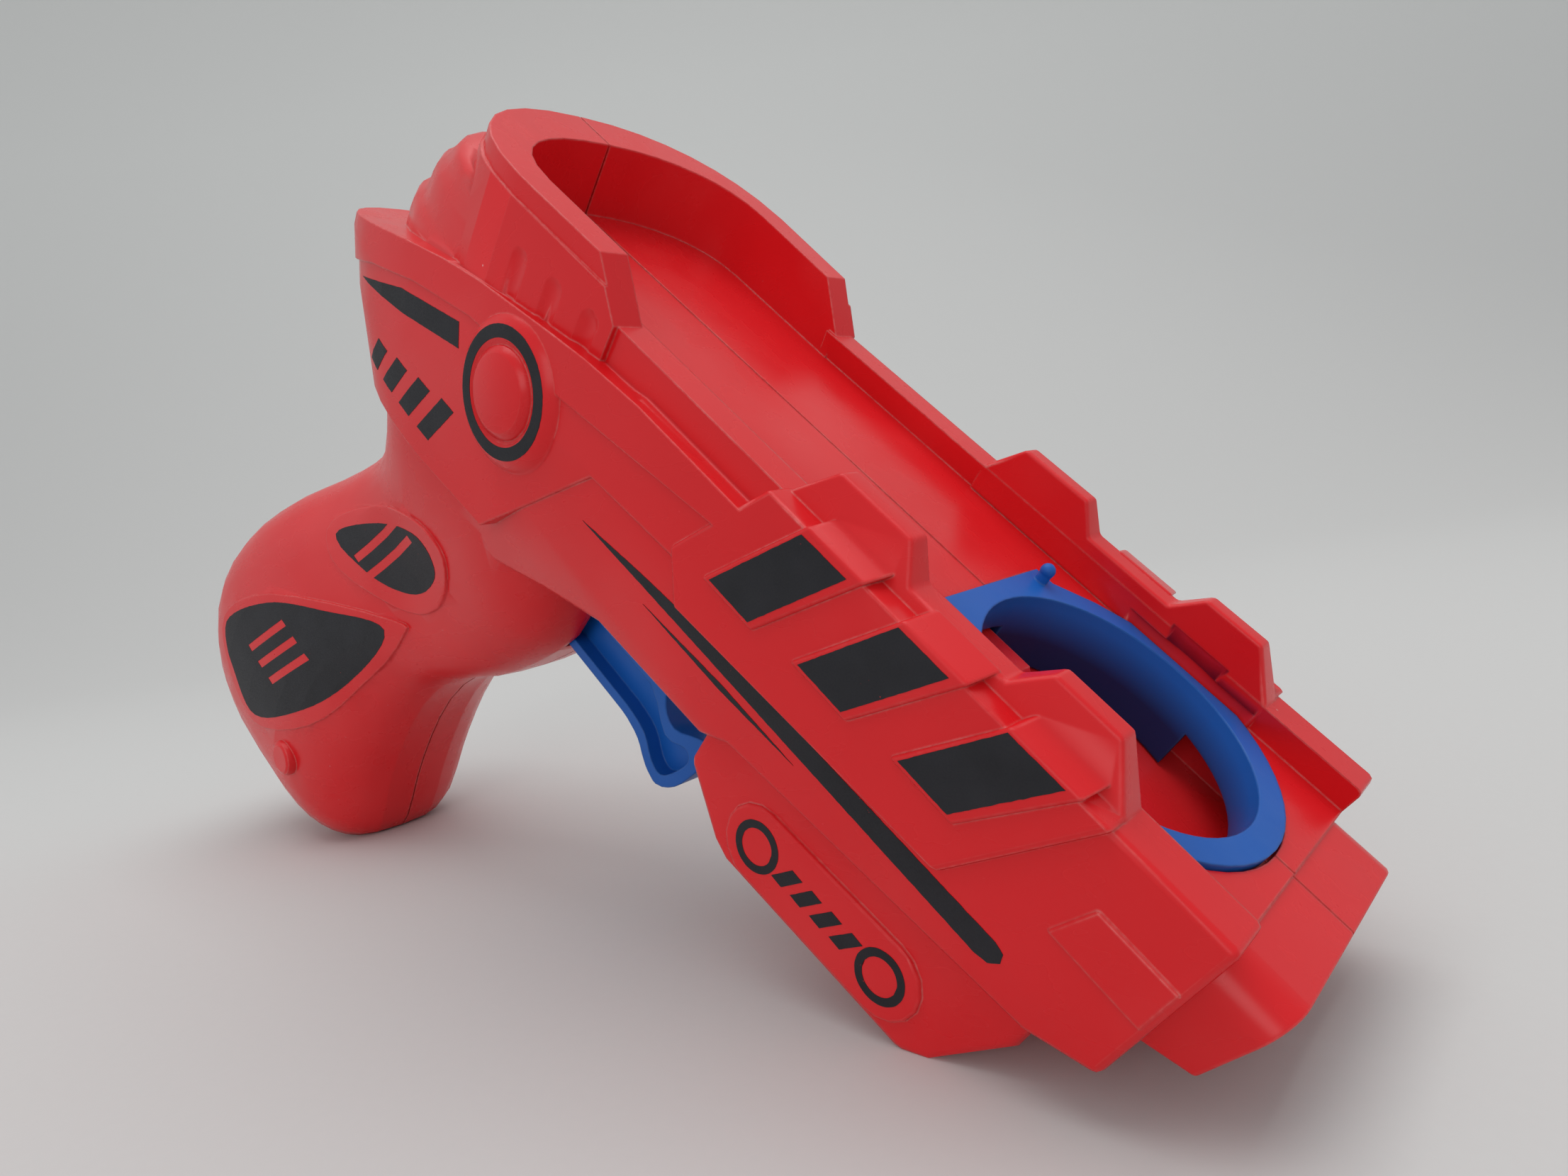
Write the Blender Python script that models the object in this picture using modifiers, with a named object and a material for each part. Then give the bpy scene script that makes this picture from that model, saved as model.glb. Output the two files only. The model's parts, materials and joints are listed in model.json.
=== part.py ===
"""Foam disc launcher: two half shells around a disc tube, a sliding trigger and a spring striker.

Everything is modelled in the launcher's own frame: X forward along the deck, Y to the left, Z square to
the deck, with the origin on the deck's front edge. An empty then pitches the launcher nose down, so that
it stands on its grip and on the block under its barrel.
"""

import math
from dataclasses import astuple, dataclass, replace

import bmesh
import bpy
from mathutils import Matrix, Vector

MM = 0.001

# Fits and walls
GAP = 0.3 * MM
SEAM = 0.15 * MM
WALL = 2.0 * MM
FAR = 60.0 * MM
WELD = 0.0005 * MM

# Disc tube
TUBE_X = -23.2 * MM
TUBE_RADIUS = 16.2 * MM
TUBE_WALL = 1.2 * MM
TUBE_DEPTH = 9.3 * MM
FLANGE_RIM = 1.8 * MM
FLANGE_THICK = 1.4 * MM
FLANGE_PROUD = 0.5 * MM
TAIL_REACH = 18.8 * MM
TAIL_HALF = 11.2 * MM
EXIT_HEIGHT = 5.0 * MM
EXIT_START = 5.3 * MM
STUD_RADIUS = 0.8 * MM
STUD_HEIGHT = 1.5 * MM
STUD_INSET = 1.7 * MM

TUBE_OUTER = TUBE_RADIUS + TUBE_WALL
FLANGE_RADIUS = TUBE_OUTER + FLANGE_RIM
FLANGE_HALF = TUBE_OUTER + 0.2 * MM

# Deck, rails and side panels
DECK_WALL = 2.0 * MM
RAIL_FOOT = FLANGE_HALF + GAP + 0.1 * MM
RAIL_LEAN = 0.8 * MM
RAIL_WIDTH = 4.2 * MM
RAIL_LOW = 3.5 * MM
RAIL_MID = 5.2 * MM
RAIL_HIGH = 8.6 * MM
RAIL_REAR_X = -88.0 * MM
BUMP_LEAN = 1.3 * MM
LEDGE = 1.7 * MM

RAIL_TOP = RAIL_FOOT - RAIL_LEAN
RAIL_OUTER = RAIL_TOP + RAIL_WIDTH
PANEL_HALF = RAIL_OUTER + LEDGE
PANEL_FRONT_X = -1.5 * MM
PANEL_TAPER_Z = -14.0 * MM
PANEL_TAPER = 2.1 * MM
PANEL_BOTTOM_Z = -42.0 * MM
NECK_Z = -24.5 * MM
NECK_HALF = 16.9 * MM

# Layers that stand proud of the side panels
CHEEK_PROUD = 0.95 * MM
CHEEK_REAR_X = -57.4 * MM
CHEEK_TOP_Z = RAIL_LOW + 0.4 * MM
PAD_COUNT = 3
PAD_PROUD = 0.5 * MM
PAD_X = -51.5 * MM
PAD_PITCH = 13.1 * MM
PAD_WIDTH = 8.2 * MM
PAD_LEAN = 0.59
PAD_TOP_Z = CHEEK_TOP_Z + 0.5 * MM
PAD_RISE = 1.0 * MM
PAD_LOW_Z = -9.1 * MM
PAD_LIFT = 1.0 * MM
FRONT_PAD_PROUD = 0.3 * MM
ARMOUR_PROUD = 0.5 * MM
BELT_PROUD = 0.45 * MM
BELT_Z = -0.2 * MM

# Nose and floor
NOSE_X = 5.4 * MM
NOSE_HALF = TUBE_RADIUS + 2.4 * MM
NOSE_DROP = 0.3 * MM
NOSE_ROUND = 4.0 * MM
NOSE_LEAN = 1.8 * MM
NOSE_BOTTOM_Z = -12.6 * MM
MOUTH_HALF = TUBE_RADIUS - 0.4 * MM
FLOOR_Z = -(TUBE_DEPTH + GAP)
FLOOR_WALL = 1.6 * MM
FLOOR_UNDER_Z = FLOOR_Z - FLOOR_WALL

# Block under the barrel
BLOCK_HALF = 19.6 * MM
PILL_REAR = (-39.3 * MM, -32.4 * MM)
PILL_FRONT = (-20.4 * MM, -30.45 * MM)
PILL_RADIUS = 4.9 * MM
PILL_PROUD = 0.5 * MM

# Horseshoe stop at the back of the deck
STOP_FRONT_X = -86.5 * MM
STOP_ARC_X = -108.0 * MM
STOP_REACH = 21.5 * MM
STOP_HALF_FRONT = 21.6 * MM
STOP_HALF = 23.0 * MM
STOP_RIM = 4.2 * MM
STOP_WALL = 3.4 * MM
STOP_BACK = 3.4 * MM
STOP_LEDGE = 0.4 * MM
RIM_TALL = 2.6 * MM
RIM_FRONT_Z = 9.1 * MM
RIM_REAR_Z = 10.7 * MM
STOP_SLOPE_X = -92.5 * MM

# Striker and its spring
STRIKER_HALF = 3.2 * MM
STRIKER_TALL = 4.4 * MM
STRIKER_HEAD_X = -33.0 * MM
STRIKER_REAR_X = -95.0 * MM
STRIKER_SPIGOT = 7.0 * MM
STRIKER_SPRING_RADIUS = 2.1 * MM
STRIKER_SPRING_WIRE = 0.35 * MM
CHANNEL_END_X = -124.0 * MM
SLOT_HALF = STRIKER_HALF + 0.4 * MM
SLOT_HEIGHT = STRIKER_TALL + 0.8 * MM
STRIKER_LOW_Z = FLOOR_Z + GAP
STRIKER_MID_Z = STRIKER_LOW_Z + STRIKER_TALL / 2

# Trigger, its travel and its spring
TRIGGER_HALF = 4.0 * MM
TRIGGER_WEB = 1.6 * MM
TRIGGER_RIM = 1.7 * MM
TRIGGER_TRAVEL = 12.0 * MM
TRIGGER_FRONT_X = -67.0 * MM
TRIGGER_BACK_X = -89.0 * MM
TRIGGER_TAIL_X = -98.0 * MM
TRIGGER_TAIL_LOW_Z = -53.5 * MM
TRIGGER_TAIL_HIGH_Z = -44.5 * MM
TRIGGER_TOP_Z = FLOOR_UNDER_Z - 1.0 * MM
TRIGGER_TAIL_MID_Z = (TRIGGER_TAIL_LOW_Z + TRIGGER_TAIL_HIGH_Z) / 2
LUG_HALF = 5.6 * MM
LUG_TALL = 2.4 * MM
LUG_Z = FLOOR_UNDER_Z - 7.8 * MM
TRIGGER_SPRING_RADIUS = 2.6 * MM
TRIGGER_SPRING_WIRE = 0.4 * MM
TRIGGER_SEAT_X = -119.3 * MM
TRIGGER_SLOT_HALF = TRIGGER_HALF + 0.4 * MM
GUIDE_WALL = 1.7 * MM

# Pawl on the trigger
PAWL_X = -84.0 * MM
PAWL_Z = STRIKER_LOW_Z - 6.3 * MM
PAWL_HALF = 1.5 * MM
PAWL_SLOT_HALF = PAWL_HALF + 0.9 * MM
PAWL_PIN_RADIUS = 1.0 * MM
PAWL_BOSS = 2.6 * MM
PAWL_TOOTH_X = -78.0 * MM
PAWL_TOOTH = 2.6 * MM
PAWL_BITE = 1.2 * MM
PAWL_ARM_X = -71.0 * MM
PAWL_ARM_TALL = 2.0 * MM
PAWL_SPRING_X = -72.8 * MM
PAWL_SPRING_RADIUS = 1.0 * MM
PAWL_SPRING_WIRE = 0.22 * MM
PAWL_WELL_Z = PAWL_Z - 4.9 * MM

# Grip, whose slices and places are given in shares of its reach, length and half width
GRIP_X = -84.0 * MM
GRIP_Z = -25.0 * MM
GRIP_REACH = 95.0 * MM
GRIP_LENGTH = 116.0 * MM
GRIP_HALF = 18.4 * MM
GRIP_PAD_PROUD = 0.5 * MM
PLUG_RADIUS = 3.6 * MM
PLUG_END_Y = GRIP_HALF + 0.4 * MM


def grip_point(back, down):
    """Return the (x, z) place at shares of the grip's reach and length."""
    return GRIP_X - back * GRIP_REACH, GRIP_Z - down * GRIP_LENGTH


# Screws
BOSS_RADIUS = 4.2 * MM
SCREW_SHANK = 1.1 * MM
SCREW_HEAD = 2.5 * MM
SCREW_HEAD_TALL = 1.8 * MM
SCREW_SEAT_Y = 6.0 * MM
SCREW_LENGTH = 14.0 * MM
SCREW_PLACES = {
    "screw_1": (-15.5 * MM, -27.5 * MM),
    "screw_2": (-41.5 * MM, -30.5 * MM),
    "screw_3": (-55.5 * MM, -18.4 * MM),
    "screw_4": (-118.5 * MM, -33.0 * MM),
    "screw_5": (-139.0 * MM, -21.0 * MM),
    "screw_6": grip_point(back=0.463, down=0.155),
    "screw_7": grip_point(back=0.453, down=0.397),
    "screw_8": grip_point(back=0.747, down=0.569),
    "screw_9": grip_point(back=0.447, down=0.707),
    "screw_10": grip_point(back=0.811, down=0.810),
}

# Points that stand on the table, on the launcher's centre plane
HEEL = grip_point(back=0.328, down=0.928)
TOE = (-13.2 * MM, -34.5 * MM)
STAND_PITCH = math.atan2(TOE[1] - HEEL[1], TOE[0] - HEEL[0])

# Colours
RED = (0.78, 0.020, 0.022)
BLUE = (0.006, 0.075, 0.42)
STEEL = (0.55, 0.55, 0.57)
WHITE = (0.75, 0.75, 0.73)


@dataclass(frozen=True)
class Section:
    """One cross section of a body, from its front point to its rear point."""

    front_x: float
    front_z: float
    rear_x: float
    rear_z: float
    half: float = 0.0

    def inset(self, distance):
        """Return the same section, smaller all round by distance."""
        along = Vector((self.rear_x - self.front_x, self.rear_z - self.front_z)).normalized() * distance
        return Section(
            front_x=self.front_x + along.x,
            front_z=self.front_z + along.y,
            rear_x=self.rear_x - along.x,
            rear_z=self.rear_z - along.y,
            half=self.half - distance,
        )


@dataclass(frozen=True)
class GripSlice:
    """One slice of the grip, in shares of the grip's reach, length and half width."""

    front: float
    front_down: float
    rear: float
    rear_down: float
    half: float

    def section(self):
        """Return the slice as a section."""
        front = grip_point(self.front, self.front_down)
        rear = grip_point(self.rear, self.rear_down)
        return Section(*front, *rear, half=self.half * GRIP_HALF)


def millimetres(front_x, front_z, rear_x, rear_z, half=0.0):
    """Return a section whose numbers are given in millimetres."""
    return Section(front_x * MM, front_z * MM, rear_x * MM, rear_z * MM, half * MM)


# Rear body, from above the belt line down; its width follows the side panels
HULL_SECTIONS = [
    millimetres(front_x=-58, front_z=8.0, rear_x=-150.6, rear_z=-8.0),
    millimetres(front_x=-58, front_z=-10.0, rear_x=-150.2, rear_z=-16.5),
    millimetres(front_x=-58, front_z=-20.0, rear_x=-147, rear_z=-24.0),
    millimetres(front_x=-58, front_z=-33.0, rear_x=-138.5, rear_z=-34.5),
]

# Grip, from inside the rear body down to its butt
GRIP_SLICES = [
    GripSlice(front=0.000, front_down=0.000, rear=0.611, rear_down=0.000, half=1.109),
    GripSlice(front=0.026, front_down=0.112, rear=0.574, rear_down=0.112, half=1.033),
    GripSlice(front=0.037, front_down=0.216, rear=0.568, rear_down=0.207, half=0.902),
    GripSlice(front=0.089, front_down=0.306, rear=0.621, rear_down=0.284, half=0.804),
    GripSlice(front=0.163, front_down=0.397, rear=0.721, rear_down=0.388, half=0.793),
    GripSlice(front=0.258, front_down=0.483, rear=0.823, rear_down=0.487, half=0.859),
    GripSlice(front=0.305, front_down=0.578, rear=0.914, rear_down=0.595, half=0.935),
    GripSlice(front=0.319, front_down=0.681, rear=0.979, rear_down=0.707, half=0.989),
    GripSlice(front=0.316, front_down=0.780, rear=1.000, rear_down=0.810, half=1.000),
    GripSlice(front=0.303, front_down=0.875, rear=0.960, rear_down=0.901, half=0.957),
    GripSlice(front=0.326, front_down=0.934, rear=0.863, rear_down=0.957, half=0.826),
    GripSlice(front=0.426, front_down=0.995, rear=0.716, rear_down=1.000, half=0.511),
]
GRIP_SECTIONS = [piece.section() for piece in GRIP_SLICES]
GRIP_POINTS = 36


def with_middles(sections):
    """Return the sections with one more, on a smooth curve, between each two."""
    last = len(sections) - 1
    result = []
    for index in range(last):
        places = (min(max(index + shift, 0), last) for shift in (-1, 0, 1, 2))
        before, start, end, after = (Vector(astuple(sections[place])) for place in places)
        result += [sections[index], Section(*((start + end) * 9 - before - after) / 16)]
    return result + [sections[last]]



# Space inside the rear body
CAVITY_SECTIONS = [
    millimetres(front_x=-64, front_z=-11.5, rear_x=-147, rear_z=-15.2, half=21.0),
    millimetres(front_x=-72, front_z=-22, rear_x=-144, rear_z=-25, half=19.4),
    millimetres(front_x=-91, front_z=-31, rear_x=-137.5, rear_z=-31, half=17.2),
]


def outline_mm(*points):
    """Return an outline in metres from points in millimetres."""
    return [(u * MM, v * MM) for u, v in points]


BEAM_LOWER = outline_mm((-8, -18.2), (-48, -23.8), (-52, -26.6), (-72, -28.3), (-84, -33.8), (-96, -40))
BEAM_REAR = outline_mm((-104, -40), (-104, -4.9), (-78, 0))
BEAM_OUTLINE = [
    (PANEL_FRONT_X, RAIL_LOW),
    (PANEL_FRONT_X, -15.0 * MM),
    *BEAM_LOWER,
    *BEAM_REAR,
    (CHEEK_REAR_X, 0.0),
    (CHEEK_REAR_X, RAIL_LOW),
]
BLOCK_REAR = outline_mm((-52.5, -13), (-52.5, -32.5), (-44.5, -37.8), (-41.9, -38.6))
BLOCK_FRONT = outline_mm((-14.4, -35.9), (-11.6, -33.4), (-7.1, -23.3), (-7.3, -13))
BLOCK_OUTLINE = BLOCK_REAR + BLOCK_FRONT
CHEEK_OUTLINE = [
    (CHEEK_REAR_X - 0.2 * MM, CHEEK_TOP_Z),
    *outline_mm((-65.2, -9.8), (-61.5, -15), (-22.3, -12.4)),
    (-13.9 * MM, CHEEK_TOP_Z),
]
FRONT_PAD_REAR = outline_mm((-10.7, -2.8), (-12.4, -8.1))
BELT_CURVE = outline_mm((-86.7, -0.9), (-93.6, -1.8), (-108.3, -4.0), (-116.2, -5.7), (-125.2, -8.2))
BELT_TAIL = outline_mm((-148.6, -15.6), (-160, -19), (-160, -27), (-142, -20.4), (-132.5, -15.9))
BELT_UNDER = outline_mm((-121.5, -12), (-108, -8.9), (-88, -7.2), (-58, -3.4))
BELT_OUTLINE = [(-58 * MM, BELT_Z), (-77 * MM, BELT_Z), *BELT_CURVE, *BELT_TAIL, *BELT_UNDER]
ARMOUR_TOP = outline_mm((-58, -2), (-77, -2), (-93.6, -3.6), (-108.3, -5.8), (-125.2, -10), (-160, -21))
ARMOUR_LOWER = outline_mm((-160, -36), (-112, -34), (-96, -32.8), (-79.8, -12), (-58, -10.6))
ARMOUR_OUTLINE = ARMOUR_TOP + ARMOUR_LOWER
BUMP_OUTLINE = [
    (-57.4 * MM, 0.0),
    (-57.4 * MM, RAIL_LOW),
    (-53.7 * MM, RAIL_HIGH),
    (-43.8 * MM, RAIL_HIGH),
    (-41.0 * MM, RAIL_MID),
    (-28.9 * MM, RAIL_MID),
    (-26.0 * MM, RAIL_HIGH),
    (-18.6 * MM, RAIL_HIGH),
    (-13.9 * MM, RAIL_LOW),
    (-13.9 * MM, 0.0),
]


# Soft folds behind the horseshoe stop: (reach behind the stop, height), from the lowest to the highest
FOLD_LOW = outline_mm((17.6, -16), (17.6, -9.2), (17.3, -7.8), (16.5, -6.7), (15.3, -5.9), (14.3, -5.1))
FOLD_MIDDLE = outline_mm((13.8, -3.9), (13.5, -2.4), (12.9, -1.0), (11.9, 0.0), (10.7, 0.8), (9.8, 1.7))
FOLD_HIGH = outline_mm((9.1, 2.6), (8.2, 3.5), (6.8, 4.1), (4.0, 4.6), (1.0, 4.8))
SCALLOP_RADIUS = 3.6 * MM
SCALLOP_DEPTH = 0.3 * MM
SCALLOP_XS = tuple(x * MM for x in (-89.9, -96.6, -103.3))

# Round boss on the side of the rear body: a collar, a flat ring and a domed middle
SIDE_BOSS = (-97.0 * MM, -12.5 * MM)
SIDE_BOSS_BASE = PANEL_HALF - 3.0 * MM
SIDE_BOSS_COLLAR = outline_mm((0, 0), (10.4, 0), (10.2, 2.6), (9.6, 3.7), (8.9, 4.4), (8.1, 4.8), (6.4, 4.85))
SIDE_BOSS_DOME = outline_mm((6.1, 4.5), (5.7, 4.5), (5.6, 5.0), (4.8, 5.5), (3.2, 5.8), (0, 5.9))

# Raised fields on the grip
DROP_FIELD = [
    grip_point(back=0.600, down=0.388),
    grip_point(back=0.463, down=0.267),
    grip_point(back=0.326, down=0.203),
    grip_point(back=0.242, down=0.207),
    grip_point(back=0.232, down=0.276),
    grip_point(back=0.284, down=0.345),
    grip_point(back=0.411, down=0.401),
    grip_point(back=0.547, down=0.431),
]
SHIELD_FIELD = [
    grip_point(back=0.347, down=0.401),
    grip_point(back=0.311, down=0.414),
    grip_point(back=0.368, down=0.552),
    grip_point(back=0.453, down=0.716),
    grip_point(back=0.621, down=0.853),
    grip_point(back=0.747, down=0.836),
    grip_point(back=0.832, down=0.759),
    grip_point(back=0.684, down=0.595),
]
GRIP_PLUG = grip_point(back=0.498, down=0.834)


# Scene helpers


def clear_scene():
    """Remove every object that the file starts with."""
    for obj in list(bpy.data.objects):
        bpy.data.objects.remove(obj, do_unlink=True)


def new_collection(name):
    """Return a new collection in the scene."""
    collection = bpy.data.collections.new(name)
    bpy.context.scene.collection.children.link(collection)
    return collection


def new_material(name, colour, roughness, metallic=0.0):
    """Return a Principled material of one colour."""
    material = bpy.data.materials.new(name)
    material.use_nodes = True
    shader = material.node_tree.nodes["Principled BSDF"]
    shader.inputs["Base Color"].default_value = (*colour, 1.0)
    shader.inputs["Roughness"].default_value = roughness
    shader.inputs["Metallic"].default_value = metallic
    return material


def add_object(name, bm):
    """Return a new object of the finished bmesh."""
    mesh = bpy.data.meshes.new(name)
    bm.to_mesh(mesh)
    bm.free()
    obj = bpy.data.objects.new(name, mesh)
    bpy.context.scene.collection.objects.link(obj)
    return obj


def evaluated_mesh(obj):
    """Return a new mesh of the object with its modifiers applied and its double points welded."""
    graph = bpy.context.evaluated_depsgraph_get()
    mesh = bpy.data.meshes.new_from_object(obj.evaluated_get(graph))
    bm = bmesh.new()
    bm.from_mesh(mesh)
    bmesh.ops.remove_doubles(bm, verts=bm.verts, dist=WELD)
    bmesh.ops.dissolve_degenerate(bm, edges=bm.edges, dist=WELD)
    bm.to_mesh(mesh)
    bm.free()
    return mesh


def is_closed(mesh):
    """Return whether every edge of the mesh lies between two faces."""
    bm = bmesh.new()
    bm.from_mesh(mesh)
    closed = bool(bm.faces) and all(len(edge.link_faces) == 2 for edge in bm.edges)
    bm.free()
    return closed


def bake(obj):
    """Replace the object's mesh by its evaluated mesh and drop its modifiers."""
    mesh = evaluated_mesh(obj)
    obj.modifiers.clear()
    obj.data = mesh


def combine(target, tool, operation):
    """Apply one Boolean of the tool to the target, then remove the tool."""
    modifier = target.modifiers.new(operation, "BOOLEAN")
    modifier.operation = operation
    modifier.object = tool
    for solver in ("EXACT", "MANIFOLD"):
        modifier.solver = solver
        mesh = evaluated_mesh(target)
        if is_closed(mesh):
            break
    target.modifiers.clear()
    target.data = mesh
    bpy.data.objects.remove(tool, do_unlink=True)
    return target


def join(target, *tools):
    """Add the tools to the target."""
    for tool in tools:
        combine(target, tool, "UNION")
    return target


def cut(target, *tools):
    """Take the tools out of the target."""
    for tool in tools:
        combine(target, tool, "DIFFERENCE")
    return target


def common(target, tool):
    """Keep only what the target and the tool share."""
    return combine(target, tool, "INTERSECT")


def duplicate(obj):
    """Return a copy of the object with its own mesh."""
    twin = obj.copy()
    twin.data = obj.data.copy()
    bpy.context.scene.collection.objects.link(twin)
    return twin


def soften(obj, width, segments=2):
    """Round the object's sharp edges."""
    modifier = obj.modifiers.new("round", "BEVEL")
    modifier.width = width
    modifier.segments = segments
    modifier.limit_method = "ANGLE"
    modifier.angle_limit = math.radians(35)
    bake(obj)
    return obj


# Shape helpers


def curve_mesh(name, curve):
    """Return a mesh object of a curve, with its caps welded."""
    source = bpy.data.objects.new(name, curve)
    bpy.context.scene.collection.objects.link(source)
    graph = bpy.context.evaluated_depsgraph_get()
    mesh = bpy.data.meshes.new_from_object(source.evaluated_get(graph))
    bpy.data.objects.remove(source, do_unlink=True)
    bm = bmesh.new()
    bm.from_mesh(mesh)
    bpy.data.meshes.remove(mesh)
    bmesh.ops.remove_doubles(bm, verts=bm.verts, dist=0.002 * MM)
    bmesh.ops.recalc_face_normals(bm, faces=bm.faces)
    return add_object(name, bm)


PRISM_FRAMES = {
    "X": Matrix(((0, 0, 1, 0), (1, 0, 0, 0), (0, 1, 0, 0), (0, 0, 0, 1))),
    "Y": Matrix(((1, 0, 0, 0), (0, 0, -1, 0), (0, 1, 0, 0), (0, 0, 0, 1))),
    "Z": Matrix.Identity(4),
}


def prism(name, outline, low, high, axis="Y"):
    """Return a flat outline extruded from low to high along an axis.

    The outline holds (x, z) points for axis Y, (y, z) points for axis X and (x, y) points for axis Z.
    """
    curve = bpy.data.curves.new(name, "CURVE")
    curve.dimensions = "2D"
    curve.fill_mode = "BOTH"
    curve.extrude = (high - low) / 2
    spline = curve.splines.new("POLY")
    spline.points.add(len(outline) - 1)
    for point, (u, v) in zip(spline.points, outline):
        point.co = (u, v, 0.0, 1.0)
    spline.use_cyclic_u = True
    obj = curve_mesh(name, curve)
    middle = (low + high) / 2
    shift = -middle if axis == "Y" else middle
    obj.data.transform(PRISM_FRAMES[axis] @ Matrix.Translation((0, 0, shift)))
    return obj


def box(name, x, y, z):
    """Return a box from its (low, high) limits along each axis."""
    bm = bmesh.new()
    bmesh.ops.create_cube(bm, size=1.0)
    size = Vector((x[1] - x[0], y[1] - y[0], z[1] - z[0]))
    centre = Vector((x[0] + x[1], y[0] + y[1], z[0] + z[1])) / 2
    bmesh.ops.scale(bm, vec=size, verts=bm.verts)
    bmesh.ops.translate(bm, vec=centre, verts=bm.verts)
    return add_object(name, bm)


AXIS_TURNS = {
    "X": Matrix.Rotation(math.pi / 2, 4, "Y"),
    "Y": Matrix.Rotation(-math.pi / 2, 4, "X"),
    "Z": Matrix.Identity(4),
}


def cylinder(name, radius, start, length, axis, segments=24, end_radius=None):
    """Return a cylinder or cone that runs from start along an axis."""
    bm = bmesh.new()
    bmesh.ops.create_cone(
        bm,
        cap_ends=True,
        segments=segments,
        radius1=radius,
        radius2=radius if end_radius is None else end_radius,
        depth=length,
    )
    lift = Matrix.Translation((0, 0, length / 2))
    bmesh.ops.transform(bm, matrix=Matrix.Translation(start) @ AXIS_TURNS[axis] @ lift, verts=bm.verts)
    bmesh.ops.recalc_face_normals(bm, faces=bm.faces)
    return add_object(name, bm)


def ball(name, radius, centre, segments=16):
    """Return a sphere."""
    bm = bmesh.new()
    bmesh.ops.create_uvsphere(bm, u_segments=segments, v_segments=segments // 2, radius=radius)
    bmesh.ops.translate(bm, vec=centre, verts=bm.verts)
    return add_object(name, bm)


def arc_point(section, angle, exponent):
    """Return the point of a section's rounded edge at an angle from its front."""
    front = Vector((section.front_x, 0.0, section.front_z))
    rear = Vector((section.rear_x, 0.0, section.rear_z))
    along = math.copysign(abs(math.cos(angle)) ** (2 / exponent), math.cos(angle))
    across = math.copysign(abs(math.sin(angle)) ** (2 / exponent), math.sin(angle))
    return (front + rear) / 2 + (front - rear) / 2 * along + Vector((0.0, section.half * across, 0.0))


def oval(section, exponent=3.0, count=28):
    """Return the points of a section, as a rounded oval."""
    return [arc_point(section, 2 * math.pi * step / count, exponent) for step in range(count)]


def rounded_back(section, exponent=4.0, steps=20):
    """Return the points of a section with straight sides in front and a rounded back."""
    arc = [arc_point(section, math.pi * (0.5 + step / steps), exponent) for step in range(steps + 1)]
    left = Vector((section.front_x, section.half, section.front_z))
    right = Vector((section.front_x, -section.half, section.front_z))
    return [left, *arc, right]


def loft(name, outlines):
    """Return a closed body through a row of outlines with equal counts of points, top to bottom."""
    bm = bmesh.new()
    rings = [[bm.verts.new(point) for point in outline] for outline in outlines]
    count = len(rings[0])
    for upper, lower in zip(rings, rings[1:]):
        for step in range(count):
            ahead = (step + 1) % count
            bm.faces.new((upper[step], lower[step], lower[ahead], upper[ahead]))
    bm.faces.new(rings[0])
    bm.faces.new(list(reversed(rings[-1])))
    bmesh.ops.recalc_face_normals(bm, faces=bm.faces)
    return add_object(name, bm)


def turned(name, profile, steps=36):
    """Return a solid turned about Z from (radius, height) points that start and end on the axis."""
    mesh = bpy.data.meshes.new(name)
    edges = [(index, index + 1) for index in range(len(profile) - 1)]
    mesh.from_pydata([(radius, 0.0, height) for radius, height in profile], edges, [])
    obj = bpy.data.objects.new(name, mesh)
    bpy.context.scene.collection.objects.link(obj)
    modifier = obj.modifiers.new("turn", "SCREW")
    modifier.steps = steps
    modifier.render_steps = steps
    modifier.use_merge_vertices = True
    modifier.merge_threshold = WELD
    bake(obj)
    bm = bmesh.new()
    bm.from_mesh(obj.data)
    bmesh.ops.recalc_face_normals(bm, faces=bm.faces)
    bm.to_mesh(obj.data)
    bm.free()
    return obj


def smooth_outline(points, steps=5):
    """Return a closed outline that runs smoothly through the points."""
    count = len(points)
    result = []
    for index in range(count):
        before, start, end, after = (Vector(points[(index + offset) % count]) for offset in (-1, 0, 1, 2))
        for step in range(steps):
            t = step / steps
            result.append(
                0.5
                * (
                    2 * start
                    + (end - before) * t
                    + (2 * before - 5 * start + 4 * end - after) * t**2
                    + (3 * start - before - 3 * end + after) * t**3
                )
            )
    return [tuple(point) for point in result]


def inset_outline(points, distance):
    """Return an outline moved inwards by distance on every side."""
    area = sum(a[0] * b[1] - b[0] * a[1] for a, b in zip(points, points[1:] + points[:1]))
    turn = 1.0 if area > 0 else -1.0
    count = len(points)
    result = []
    for index in range(count):
        here = Vector(points[index])
        into = (here - Vector(points[index - 1])).normalized()
        out = (Vector(points[(index + 1) % count]) - here).normalized()
        normal_in = Vector((-into.y, into.x)) * turn
        normal_out = Vector((-out.y, out.x)) * turn
        bisector = (normal_in + normal_out).normalized()
        result.append(tuple(here + bisector * distance / max(0.3, bisector.dot(normal_in))))
    return result


def coil(name, start, length, axis, radius, wire, turns):
    """Return a compression spring that runs from start along an axis."""
    per_turn = 10
    total = turns * per_turn
    curve = bpy.data.curves.new(name, "CURVE")
    curve.dimensions = "3D"
    curve.bevel_depth = wire
    curve.bevel_resolution = 2
    curve.use_fill_caps = True
    spline = curve.splines.new("POLY")
    spline.points.add(total)
    frame = Matrix.Translation(start) @ AXIS_TURNS[axis]
    for step, point in enumerate(spline.points):
        angle = 2 * math.pi * step / per_turn
        rise = wire + (length - 2 * wire) * step / total
        place = frame @ Vector((radius * math.cos(angle), radius * math.sin(angle), rise))
        point.co = (*place, 1.0)
    return curve_mesh(name, curve)


# Shells


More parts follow.
